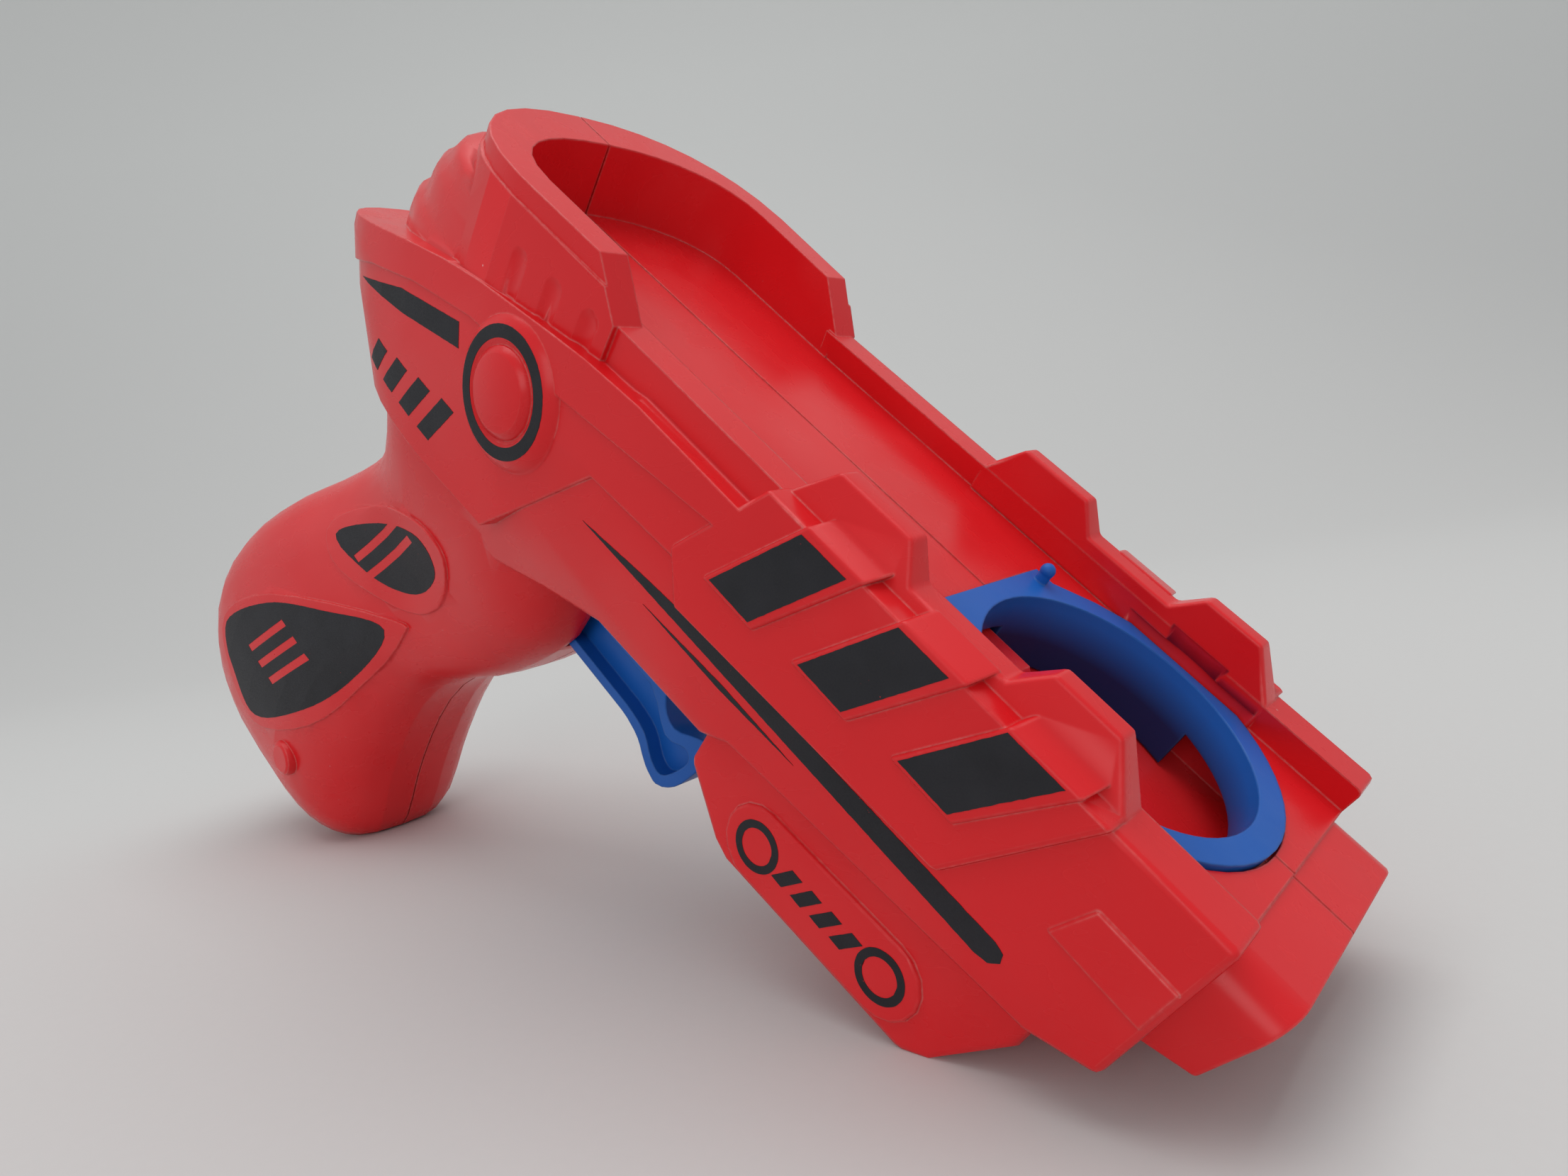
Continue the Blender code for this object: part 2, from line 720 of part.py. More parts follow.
def stop_plan(reach, half_front, half, front_x):
    """Return the horseshoe's plan: two straight sides and a round back."""
    arc = []
    steps = 16
    for step in range(steps + 1):
        angle = math.pi / 2 + math.pi * step / steps
        exponent = 2 / 2.3
        along = math.copysign(abs(math.cos(angle)) ** exponent, math.cos(angle)) * reach
        across = math.copysign(abs(math.sin(angle)) ** exponent, math.sin(angle)) * half
        arc.append((STOP_ARC_X + along, across))
    return [(front_x, half_front)] + arc + [(front_x, -half_front)]


def stop_profile(low, drop):
    """Return the horseshoe's side view, with sloped front ends, up to drop below its sloped rim."""
    rear_x = STOP_ARC_X - STOP_REACH - 6 * MM
    share = 1 - drop / (RIM_FRONT_Z - RAIL_LOW)
    return [
        (STOP_FRONT_X, low),
        (STOP_FRONT_X, RAIL_LOW),
        (STOP_FRONT_X + (STOP_SLOPE_X - STOP_FRONT_X) * share, RIM_FRONT_Z - drop),
        (rear_x, RIM_REAR_Z - drop),
        (rear_x, low),
    ]


def stop_ring(name, outset, rim, low, high):
    """Return a horseshoe wall between two heights, rim thick at its sides and thicker at its back."""
    front = STOP_FRONT_X + 2 * MM
    outer = stop_plan(STOP_REACH + outset, STOP_HALF_FRONT + outset, STOP_HALF + outset, front)
    ring = prism(name, outer, low, high, "Z")
    inner = stop_plan(STOP_REACH - rim - STOP_BACK, STOP_HALF_FRONT - rim, STOP_HALF - rim, front + 7 * MM)
    return cut(ring, prism("inner", inner, low - 1 * MM, high + 1 * MM, "Z"))


def stop_solid():
    """Return the horseshoe stop: wall, rim set back on a ledge, floor and rear folds."""
    low = -16 * MM
    top = RIM_REAR_Z + 2 * MM
    wall = stop_ring("stop", STOP_LEDGE, STOP_WALL, low, top)
    common(wall, prism("under", stop_profile(low + 1 * MM, RIM_TALL), -FAR, FAR))
    rim = stop_ring("rim", 0.0, STOP_RIM, 0.0, top)
    common(rim, prism("profile", stop_profile(low + 1 * MM, 0.0), -FAR, FAR))
    join(wall, soften(rim, 0.35 * MM))
    for side in (1, -1):
        cut(wall, *scallops(side))
    inside = STOP_WALL - STOP_LEDGE
    reach = STOP_REACH - STOP_BACK - inside
    floor = stop_plan(reach, RAIL_FOOT + 1 * MM, STOP_HALF - inside, STOP_FRONT_X + 12 * MM)
    join(wall, prism("floor", floor, -12 * MM, 0.0, "Z"))
    rings = []
    for behind, z in FOLD_LOW + FOLD_MIDDLE + FOLD_HIGH:
        half = STOP_HALF - STOP_LEDGE
        plan = stop_plan(STOP_REACH + behind, half, half, STOP_ARC_X + 2 * MM)
        rings.append([Vector((x, y, z)) for x, y in plan])
    folds = loft("folds", list(reversed(rings)))
    cavity = stop_plan(reach, STOP_HALF - inside, STOP_HALF - inside, STOP_ARC_X + 6 * MM)
    return join(wall, cut(folds, prism("inner", cavity, 0.0, top, "Z")))


def both_sides(points):
    """Return a cross section of (y, z) points and their mirror images, as one outline."""
    return points + [(-y, z) for y, z in reversed(points)]


def one_side(side, points):
    """Return (y, z) points on the left for side 1, or their mirror images for side -1."""
    return [(side * y, z) for y, z in points]


def rail_solid(side):
    """Return the rear stretch of one rail and its bumps; side is 1 for left and -1 for right."""
    foot = -3 * MM
    inner = [(RAIL_FOOT, foot), (RAIL_FOOT, 0.0), (RAIL_TOP, RAIL_LOW)]
    outer = [(RAIL_OUTER, RAIL_LOW), (RAIL_OUTER, foot)]
    rail = prism("rail", one_side(side, inner + outer), RAIL_REAR_X, CHEEK_REAR_X + 1 * MM, "X")
    low, high = sorted((side * (RAIL_TOP - 1 * MM), side * (RAIL_OUTER + 1 * MM)))
    bumps = prism("bumps", BUMP_OUTLINE, low, high)
    edge = 0.05 * MM
    wall = [(RAIL_TOP + edge, foot), (RAIL_TOP + edge, RAIL_HIGH + edge)]
    lean = [(RAIL_OUTER - BUMP_LEAN, RAIL_HIGH + edge), (RAIL_OUTER - edge, RAIL_LOW)]
    lean.append((RAIL_OUTER - edge, foot))
    common(bumps, prism("lean", one_side(side, wall + lean), RAIL_REAR_X, 0.0, "X"))
    return join(rail, soften(bumps, 0.4 * MM))


def half_at(z):
    """Return the side panels' half width at a height."""
    return PANEL_HALF - PANEL_TAPER * max(0.0, PANEL_TAPER_Z - z) / (PANEL_TAPER_Z - PANEL_BOTTOM_Z)


def panel_section(inset):
    """Return the barrel's cross section, with panels that taper in below and on into the neck."""
    points = [(half_at(z) - inset, z) for z in (RAIL_LOW + 1 * MM, PANEL_TAPER_Z, NECK_Z)]
    return both_sides(points + [(NECK_HALF - inset, PANEL_BOTTOM_Z)])


def deck_channel():
    """Return the space over the deck, between the rails."""
    points = [(RAIL_FOOT, 0.0), (RAIL_TOP, RAIL_LOW), (RAIL_TOP, 2 * RAIL_LOW)]
    return prism("deck", both_sides(points), CHEEK_REAR_X - 2 * MM, FAR, "X")


def beam_solid(inset):
    """Return the barrel's body, smaller all round by inset."""
    outline = inset_outline(BEAM_OUTLINE, inset) if inset else BEAM_OUTLINE
    beam = prism("beam", outline, -FAR, FAR)
    return common(beam, prism("section", panel_section(inset), -120 * MM, 1 * MM, "X"))


def layer(name, outline, proud):
    """Return a layer of the rear body inside an outline, proud of the side panels and round the back."""
    rings = []
    for section in HULL_SECTIONS:
        half = half_at((section.front_z + section.rear_z) / 2) + proud
        rings.append(rounded_back(replace(section, rear_x=section.rear_x - proud, half=half)))
    return soften(common(prism(name, outline, -FAR, FAR), loft("hull", rings)), 0.35 * MM)


def cheek_solid(side):
    """Return the raised cheek plate of one side."""
    low, high = sorted((side * (RAIL_OUTER - 1 * MM), side * (PANEL_HALF + CHEEK_PROUD)))
    return soften(prism("cheek", CHEEK_OUTLINE, low, high), 0.5 * MM)


def window_pads(side):
    """Return the leaning pads on one cheek, each with a sloped top."""
    face = PANEL_HALF + CHEEK_PROUD + PAD_PROUD
    back = RAIL_OUTER - BUMP_LEAN
    top = PAD_TOP_Z + PAD_RISE
    slope = one_side(side, [(back, -FAR), (face, -FAR), (face, PAD_TOP_Z), (back, top)])
    low_y, high_y = sorted((side * (back - 1 * MM), side * (face + 1 * MM)))
    pads = []
    for index in range(PAD_COUNT):
        low = PAD_LOW_Z + index * PAD_LIFT
        rear_low = PAD_X + index * PAD_PITCH - PAD_LEAN * (PAD_TOP_Z - low)
        rear_top = PAD_X + index * PAD_PITCH + PAD_LEAN * PAD_RISE
        outline = [(rear_low, low), (rear_top, top), (rear_top + PAD_WIDTH, top), (rear_low + PAD_WIDTH, low)]
        pad = prism("pad", outline, low_y, high_y)
        common(pad, prism("slope", slope, rear_low - 1 * MM, rear_top + PAD_WIDTH + 1 * MM, "X"))
        pads.append(soften(pad, 0.35 * MM))
    return pads


def front_pad(side):
    """Return the low pad at the front end of one side panel."""
    front = [(PANEL_FRONT_X - 0.6 * MM, z) for _, z in reversed(FRONT_PAD_REAR)]
    low, high = sorted((side * (PANEL_HALF - 1 * MM), side * (PANEL_HALF + FRONT_PAD_PROUD)))
    return soften(prism("front_pad", FRONT_PAD_REAR + front, low, high), 0.2 * MM, 1)


def block_pill(side):
    """Return the raised pill on one side of the block."""
    steps = 8
    rear, front = Vector(PILL_REAR), Vector(PILL_FRONT)
    start = math.atan2(front.y - rear.y, front.x - rear.x) + math.pi / 2
    outline = []
    for centre, turn in ((rear, start), (front, start + math.pi)):
        for step in range(steps + 1):
            angle = turn + math.pi * step / steps
            along, up = PILL_RADIUS * math.cos(angle), PILL_RADIUS * math.sin(angle)
            outline.append((centre.x + along, centre.y + up))
    low, high = sorted((side * (BLOCK_HALF - 1 * MM), side * (BLOCK_HALF + PILL_PROUD)))
    return soften(prism("pill", outline, low, high), 0.3 * MM)


def side_boss(side):
    """Return the round boss with a domed middle on one side of the rear body."""
    x, z = SIDE_BOSS
    boss = turned("boss", SIDE_BOSS_COLLAR + SIDE_BOSS_DOME)
    turn = Matrix.Rotation(-side * math.pi / 2, 4, "X")
    boss.data.transform(Matrix.Translation((x, side * SIDE_BOSS_BASE, z)) @ turn)
    return boss


def grip_solid():
    """Return the grip with its two raised fields."""
    sections = with_middles(GRIP_SECTIONS)
    grip = loft("grip", [oval(section, count=GRIP_POINTS) for section in sections])
    raised = [section.inset(-GRIP_PAD_PROUD) for section in sections]
    for outline in (DROP_FIELD, SHIELD_FIELD):
        field = prism("field", smooth_outline(outline, 4), -FAR, FAR)
        common(field, loft("skin", [oval(section, count=GRIP_POINTS) for section in raised]))
        join(grip, soften(field, 0.3 * MM, 1))
    return grip


def grip_plug(side):
    """Return the small round plug low on one side of the grip."""
    x, z = GRIP_PLUG
    start = PLUG_END_Y / 2
    rise = PLUG_END_Y - start
    plug = cylinder("plug", PLUG_RADIUS, (x, start if side > 0 else -PLUG_END_Y, z), rise, "Y", 20)
    return soften(plug, 0.9 * MM)


def scallops(side):
    """Return the shallow upright grooves under the horseshoe's lip."""
    tools = []
    for x in SCALLOP_XS:
        share = (STOP_FRONT_X - x) / (STOP_FRONT_X - STOP_ARC_X)
        wall = STOP_HALF_FRONT + (STOP_HALF - STOP_HALF_FRONT) * share + STOP_LEDGE
        y = side * (wall + SCALLOP_RADIUS - SCALLOP_DEPTH)
        groove = cylinder("scallop", SCALLOP_RADIUS, (x, y, -6 * MM), 7.6 * MM, "Z", 40)
        tools.append(join(groove, ball("end", SCALLOP_RADIUS * 1.003, (x, y, 1.6 * MM), 40)))
    return tools


def nose_solid():
    """Return the nose block around the mouth, with rounded upper corners."""
    outline = [
        (-6 * MM, -NOSE_DROP),
        (NOSE_X, -NOSE_DROP),
        (NOSE_X - NOSE_LEAN, NOSE_BOTTOM_Z + 1.8 * MM),
        (-6 * MM, NOSE_BOTTOM_Z - 1.6 * MM),
    ]
    steps = 8
    corner = []
    for step in range(steps + 1):
        angle = math.pi / 2 * step / steps
        across = NOSE_HALF - NOSE_ROUND * (1 - math.cos(angle))
        corner.append((across, -NOSE_DROP - NOSE_ROUND * (1 - math.sin(angle))))
    section = both_sides([(NOSE_HALF, -FAR)] + corner)
    nose = prism("nose", outline, -NOSE_HALF, NOSE_HALF)
    return soften(common(nose, prism("corners", section, -FAR, FAR, "X")), 0.4 * MM)


def outer_solid():
    """Return the launcher's whole outside as one solid."""
    body = cut(soften(beam_solid(0.0), 0.7 * MM), deck_channel())
    join(body, soften(prism("block", BLOCK_OUTLINE, -BLOCK_HALF, BLOCK_HALF), 1.4 * MM))
    join(body, layer("armour", ARMOUR_OUTLINE, ARMOUR_PROUD))
    join(body, layer("belt", BELT_OUTLINE, ARMOUR_PROUD + BELT_PROUD))
    join(body, grip_solid(), nose_solid(), stop_solid())
    for side in (1, -1):
        join(body, rail_solid(side), cheek_solid(side), *window_pads(side), front_pad(side))
        join(body, side_boss(side), block_pill(side), grip_plug(side))
    return cut(body, table_side())


def table_side():
    """Return everything below the table, which leaves two flat feet on the body."""
    below = box("table", (-1.0, 1.0), (-1.0, 1.0), (-1.0, 0.0))
    turn = Matrix.Rotation(-STAND_PITCH, 4, "Y")
    below.data.transform(Matrix.Translation((TOE[0], 0.0, TOE[1])) @ turn)
    return below


def upper_cavity():
    """Return the space between deck and floor: disc channel, mouth and striker channel."""
    tube_half = TUBE_OUTER + 3.0 * MM
    plan = []
    for side, order in ((1, 1), (-1, -1)):
        edge = [
            (NOSE_X + 2 * MM, side * MOUTH_HALF),
            (-3 * MM, side * MOUTH_HALF),
            (-3 * MM, side * tube_half),
            (-46 * MM, side * tube_half),
            (-88 * MM, side * (tube_half - 4 * MM)),
            (-100 * MM, side * 9 * MM),
            (CHANNEL_END_X, side * 7 * MM),
        ]
        plan += edge[::order]
    space = prism("channel", plan, FLOOR_Z, -DECK_WALL, "Z")
    for side in (1, -1):
        guide = sorted((side * (STRIKER_HALF + 0.4 * MM), side * (STRIKER_HALF + 0.4 * MM + GUIDE_WALL)))
        cut(space, box("guide", (STRIKER_REAR_X, -45 * MM), guide, (FLOOR_Z - 1 * MM, 0.0)))
    return space


def lower_cavity():
    """Return the space below the floor, with room for bosses, guides and the spring seat left out."""
    space = beam_solid(WALL)
    join(space, prism("block", inset_outline(BLOCK_OUTLINE, WALL), -BLOCK_HALF + WALL, BLOCK_HALF - WALL))
    join(space, loft("rear", [oval(section) for section in CAVITY_SECTIONS]))
    join(space, loft("grip", [oval(section.inset(WALL)) for section in GRIP_SECTIONS[:-1]]))
    cut(space, box("floor", (-126 * MM, FAR), (-FAR, FAR), (FLOOR_UNDER_Z, FAR)))
    for side in (1, -1):
        guide = sorted((side * TRIGGER_SLOT_HALF, side * (TRIGGER_SLOT_HALF + GUIDE_WALL)))
        groove = LUG_TALL / 2 + GAP
        span = (TRIGGER_BACK_X - TRIGGER_TRAVEL - 3 * MM, TRIGGER_FRONT_X + 5 * MM)
        cut(space, box("guide", span, guide, (LUG_Z + groove, 0.0)))
        cut(space, box("guide", span, guide, (-30 * MM, LUG_Z - groove)))
    seat = (TRIGGER_SEAT_X - WALL, TRIGGER_SEAT_X)
    cut(space, box("seat", seat, (-FAR, FAR), (TRIGGER_TAIL_LOW_Z - 2 * MM, TRIGGER_TAIL_HIGH_Z + 2 * MM)))
    for x, z in SCREW_PLACES.values():
        cut(space, cylinder("boss", BOSS_RADIUS, (x, -FAR, z), 2 * FAR, "Y", 20))
    return space


def trigger_slot():
    """Return the slot that the trigger slides in."""
    front = TRIGGER_FRONT_X + GAP + 0.2 * MM
    back = TRIGGER_BACK_X - TRIGGER_TRAVEL - 0.5 * MM
    tail = TRIGGER_TAIL_X - TRIGGER_TRAVEL - 1.0 * MM
    sill = TRIGGER_TAIL_HIGH_Z + 3.0 * MM
    outline = [
        (front, FLOOR_UNDER_Z - 0.2 * MM),
        (front, TRIGGER_TAIL_LOW_Z - 0.5 * MM),
        (tail, TRIGGER_TAIL_LOW_Z - 0.5 * MM),
        (tail, sill),
        (back, sill),
        (back, FLOOR_UNDER_Z - 0.2 * MM),
    ]
    half = TRIGGER_SLOT_HALF - 0.05 * MM
    return prism("trigger_slot", outline, -half, half)


def flange_plan(clearance):
    """Return the tube flange's outline, larger all round by clearance."""
    radius = FLANGE_RADIUS + clearance
    half = FLANGE_HALF + clearance
    rear = TUBE_X - TAIL_REACH - clearance
    meet = math.radians(128)
    side = math.asin(half / radius)
    steps = 10
    left = [(rear, TAIL_HALF + clearance), (rear + 2.6 * MM, TAIL_HALF + clearance)]
    left.append((TUBE_X + radius * math.cos(meet), radius * math.sin(meet)))
    left.append((TUBE_X - radius * math.cos(side), half))
    for step in range(steps + 1):
        angle = side * (1 - step / steps)
        left.append((TUBE_X + radius * math.cos(angle), radius * math.sin(angle)))
    right = [(x, -y) for x, y in reversed(left[:-1])]
    return left + right


def shell_pair():
    """Return both half shells, still without screw holes."""
    body = outer_solid()
    cut(body, lower_cavity(), upper_cavity(), trigger_slot())
    hole = cylinder("hole", TUBE_OUTER + GAP, (TUBE_X, 0, -2 * DECK_WALL), 4 * DECK_WALL, "Z", 64)
    seat = prism("seat", flange_plan(GAP), FLANGE_PROUD - FLANGE_THICK - GAP, 2 * MM, "Z")
    slot_x = (STRIKER_REAR_X, PAWL_ARM_X + 1 * MM)
    slot_z = (FLOOR_UNDER_Z - 1 * MM, FLOOR_Z + 1 * MM)
    slot = box("pawl_slot", slot_x, (-PAWL_SLOT_HALF, PAWL_SLOT_HALF), slot_z)
    cut(body, hole, seat, slot)
    right = duplicate(body)
    common(right, box("half", (-1.0, 1.0), (-1.0, -SEAM), (-1.0, 1.0)))
    common(body, box("half", (-1.0, 1.0), (SEAM, 1.0), (-1.0, 1.0)))
    return right, body


def right_shell(shell):
    """Drill the pilot holes of the right half shell."""
    depth = SCREW_LENGTH - SCREW_SEAT_Y + 2 * MM
    for x, z in SCREW_PLACES.values():
        cut(shell, cylinder("pilot", SCREW_SHANK + GAP, (x, -depth, z), depth + 2 * MM, "Y", 16))
    return shell


def left_shell(shell):
    """Drill the clearance holes and the screw wells of the left half shell."""
    for x, z in SCREW_PLACES.values():
        cut(shell, cylinder("hole", SCREW_SHANK + GAP, (x, -2 * MM, z), SCREW_SEAT_Y + 4 * MM, "Y", 16))
        cut(shell, cylinder("well", SCREW_HEAD + GAP, (x, SCREW_SEAT_Y, z), FAR, "Y", 20))
    return shell


# Moving and fitted parts


def disc_tube():
    """Return the blue tube that the discs drop into."""
    tube = cylinder("disc_tube", TUBE_OUTER, (TUBE_X, 0, -TUBE_DEPTH), TUBE_DEPTH + FLANGE_PROUD / 2, "Z", 64)
    join(tube, prism("flange", flange_plan(0.0), FLANGE_PROUD - FLANGE_THICK, FLANGE_PROUD, "Z"))
    cut(tube, cylinder("bore", TUBE_RADIUS, (TUBE_X, 0, -2 * TUBE_DEPTH), 4 * TUBE_DEPTH, "Z", 64))
    exit_x = (TUBE_X + EXIT_START, FAR)
    cut(tube, box("exit", exit_x, (-FAR, FAR), (-FAR, EXIT_HEIGHT - TUBE_DEPTH)))
    slot_z = (-FAR, SLOT_HEIGHT - TUBE_DEPTH)
    cut(tube, box("slot", (-FAR, TUBE_X), (-SLOT_HALF, SLOT_HALF), slot_z))
    x = TUBE_X - TAIL_REACH + STUD_INSET
    y = TAIL_HALF - STUD_INSET
    foot = FLANGE_THICK / 2
    stud = cylinder("stud", STUD_RADIUS, (x, y, FLANGE_PROUD - foot), STUD_HEIGHT + foot, "Z", 16)
    join(stud, ball("knob", STUD_RADIUS * 1.15, (x, y, FLANGE_PROUD + STUD_HEIGHT)))
    return join(tube, stud)


def striker():
    """Return the striker bar, with its pawl notch and spring spigot."""
    high = STRIKER_LOW_Z + STRIKER_TALL
    across = (-STRIKER_HALF, STRIKER_HALF)
    bar = box("striker", (STRIKER_REAR_X, STRIKER_HEAD_X), across, (STRIKER_LOW_Z, high))
    soften(bar, 0.5 * MM, 1)
    notch = (PAWL_TOOTH_X - PAWL_TOOTH / 2 - GAP, PAWL_TOOTH_X + 4.6 * MM)
    cut(bar, box("notch", notch, (-FAR, FAR), (STRIKER_LOW_Z - 1 * MM, STRIKER_LOW_Z + PAWL_BITE + GAP)))
    radius = STRIKER_SPRING_RADIUS - STRIKER_SPRING_WIRE - GAP
    start = (STRIKER_REAR_X - STRIKER_SPIGOT, 0, STRIKER_MID_Z)
    return join(bar, cylinder("spigot", radius, start, STRIKER_SPIGOT + 1 * MM, "X", 16))


def trigger_outline():
    """Return the trigger's side view."""
    front = outline_mm((-69.8, -34), (-70.2, -41), (-68.6, -45.8), (-65.6, -47.4), (-62, -45.4))
    front += outline_mm((-59.6, -44.2), (-58.2, -46))
    toe = outline_mm((-59.2, -50.4), (-60.8, -54.9), (-63.6, -57.6), (-67, -56.8), (-70.4, -54.5))
    above = [(TRIGGER_FRONT_X, -20 * MM), (TRIGGER_FRONT_X, -26 * MM)]
    tail = [(-75 * MM, TRIGGER_TAIL_LOW_Z), (-85 * MM, TRIGGER_TAIL_LOW_Z)]
    guides = above + front + toe + tail
    smooth = smooth_outline(guides, 3)[3 : 3 * (len(guides) - 2) + 1]
    return (
        [(TRIGGER_FRONT_X, TRIGGER_TOP_Z)]
        + smooth
        + [
            (TRIGGER_TAIL_X, TRIGGER_TAIL_LOW_Z),
            (TRIGGER_TAIL_X, TRIGGER_TAIL_HIGH_Z),
            (TRIGGER_BACK_X - 2.5 * MM, TRIGGER_TAIL_HIGH_Z + 1.5 * MM),
            (TRIGGER_BACK_X, TRIGGER_TAIL_HIGH_Z + 5 * MM),
            (TRIGGER_BACK_X, TRIGGER_TOP_Z),
        ]
    )


def trigger_hollow():
    """Return the outline of the trigger's hollowed side, along its tail and into its toe."""
    low = TRIGGER_TAIL_LOW_Z + TRIGGER_RIM
    high = TRIGGER_TAIL_HIGH_Z - TRIGGER_RIM / 2
    rear = TRIGGER_TAIL_X - 5 * MM
    start = [(-82 * MM, low), (-74.6 * MM, low)]
    toe = outline_mm((-69.6, -52.7), (-66.4, -55.1), (-63.9, -55.6), (-62.2, -53.4), (-60.9, -49.6))
    toe += outline_mm((-62.4, -48.2))
    end = [(-66.4 * MM, -49.6 * MM), (-72.4 * MM, high), (-82 * MM, high)]
    guides = start + toe + end
    return [(rear, low)] + smooth_outline(guides, 3)[3 : 3 * (len(guides) - 2) + 1] + [(rear, high)]


def trigger():
    """Return the sliding trigger, with its hollowed sides, guide lugs and pawl clevis."""
    blade = prism("trigger", trigger_outline(), -TRIGGER_HALF, TRIGGER_HALF)
    soften(blade, 0.7 * MM)
    for side in (1, -1):
        depth = sorted((side * TRIGGER_WEB, side * 2 * TRIGGER_HALF))
        cut(blade, prism("hollow", trigger_hollow(), *depth))
    lug = (TRIGGER_BACK_X + 1 * MM, TRIGGER_FRONT_X - 1 * MM)
    join(blade, box("lug", lug, (-LUG_HALF, LUG_HALF), (LUG_Z - LUG_TALL / 2, LUG_Z + LUG_TALL / 2)))
    well = (TRIGGER_BACK_X - 1 * MM, TRIGGER_FRONT_X - 2.5 * MM)
    half = PAWL_HALF + GAP
    cut(blade, box("well", well, (-half, half), (PAWL_WELL_Z, 0.0)))
    cut(blade, cylinder("bore", PAWL_PIN_RADIUS + 0.08 * MM, (PAWL_X, -FAR, PAWL_Z), 2 * FAR, "Y", 24))
    radius = TRIGGER_SPRING_RADIUS - TRIGGER_SPRING_WIRE - GAP
    start = (TRIGGER_TAIL_X - 3 * MM, 0, TRIGGER_TAIL_MID_Z)
    return join(blade, cylinder("spigot", radius, start, 5 * MM, "X", 16))


def pawl():
    """Return the pawl about its pin: a boss, an arm and a tooth that reaches into the striker."""
    arm_z = PAWL_BOSS - PAWL_ARM_TALL
    tooth = (PAWL_TOOTH_X - PAWL_TOOTH / 2 - PAWL_X, PAWL_TOOTH_X + PAWL_TOOTH / 2 - PAWL_X)
    tip = STRIKER_LOW_Z + PAWL_BITE - PAWL_Z
    outline = [
        (0.0, arm_z),
        (PAWL_ARM_X - PAWL_X, arm_z),
        (PAWL_ARM_X - PAWL_X, PAWL_BOSS),
        (tooth[1] + 1.6 * MM, PAWL_BOSS),
        (tooth[1], tip - PAWL_BITE),
        (tooth[0] + 0.6 * MM, tip),
        (tooth[0], tip),
        (tooth[0], PAWL_BOSS - 0.2 * MM),
        (0.0, PAWL_BOSS - 0.2 * MM),
    ]
    lever = prism("pawl", outline, -PAWL_HALF, PAWL_HALF)
    join(lever, cylinder("boss", PAWL_BOSS, (0, -PAWL_HALF, 0), 2 * PAWL_HALF, "Y", 24))
    return cut(lever, cylinder("bore", PAWL_PIN_RADIUS + 0.08 * MM, (0, -FAR, 0), 2 * FAR, "Y", 24))


def pawl_pin():
    """Return the pin that the pawl turns on."""
    length = 2 * (TRIGGER_HALF - 0.3 * MM)
    return cylinder("pawl_pin", PAWL_PIN_RADIUS, (0, -length / 2, 0), length, "Y", 24)


def screw():
    """Return one screw, with its head's seat at the origin and its shank towards -Y."""
    body = cylinder("screw", SCREW_HEAD, (0, GAP / 2, 0), SCREW_HEAD_TALL, "Y", 20)
    soften(body, 0.4 * MM, 1)
    length = SCREW_LENGTH + SCREW_HEAD_TALL / 2
    join(body, cylinder("shank", SCREW_SHANK, (0, -SCREW_LENGTH, 0), length, "Y", 16))
    arm = SCREW_HEAD * 0.62
    depth = (SCREW_HEAD_TALL * 0.45, 2 * SCREW_HEAD_TALL)
    for x, z in ((arm, 0.3 * MM), (0.3 * MM, arm)):
        cut(body, box("cross", (-x, x), depth, (-z, z)))
    return body


# Assembly


def place(collection, frame, obj, name, material, location=(0.0, 0.0, 0.0)):
    """Name an object, give it its material and hang it in the launcher's frame."""
    obj.name = name
    obj.data.name = name
    obj.data.materials.clear()
    obj.data.materials.append(material)
    obj.data.shade_smooth()
    obj.data.set_sharp_from_angle(angle=math.radians(32))
    for owner in list(obj.users_collection):
        owner.objects.unlink(obj)
    collection.objects.link(obj)
    obj.parent = frame
    obj.location = location
    return obj


def stand(frame, parts):
    """Pitch the frame nose down and set the launcher on the table, centred over the origin."""
    frame.rotation_euler = (0.0, STAND_PITCH, 0.0)
    bpy.context.view_layer.update()
    corners = [part.matrix_world @ vertex.co for part in parts for vertex in part.data.vertices]
    xs = [corner.x for corner in corners]
    low = min(corner.z for corner in corners)
    frame.location = (-(min(xs) + max(xs)) / 2, 0.0, -low)
    bpy.context.view_layer.update()


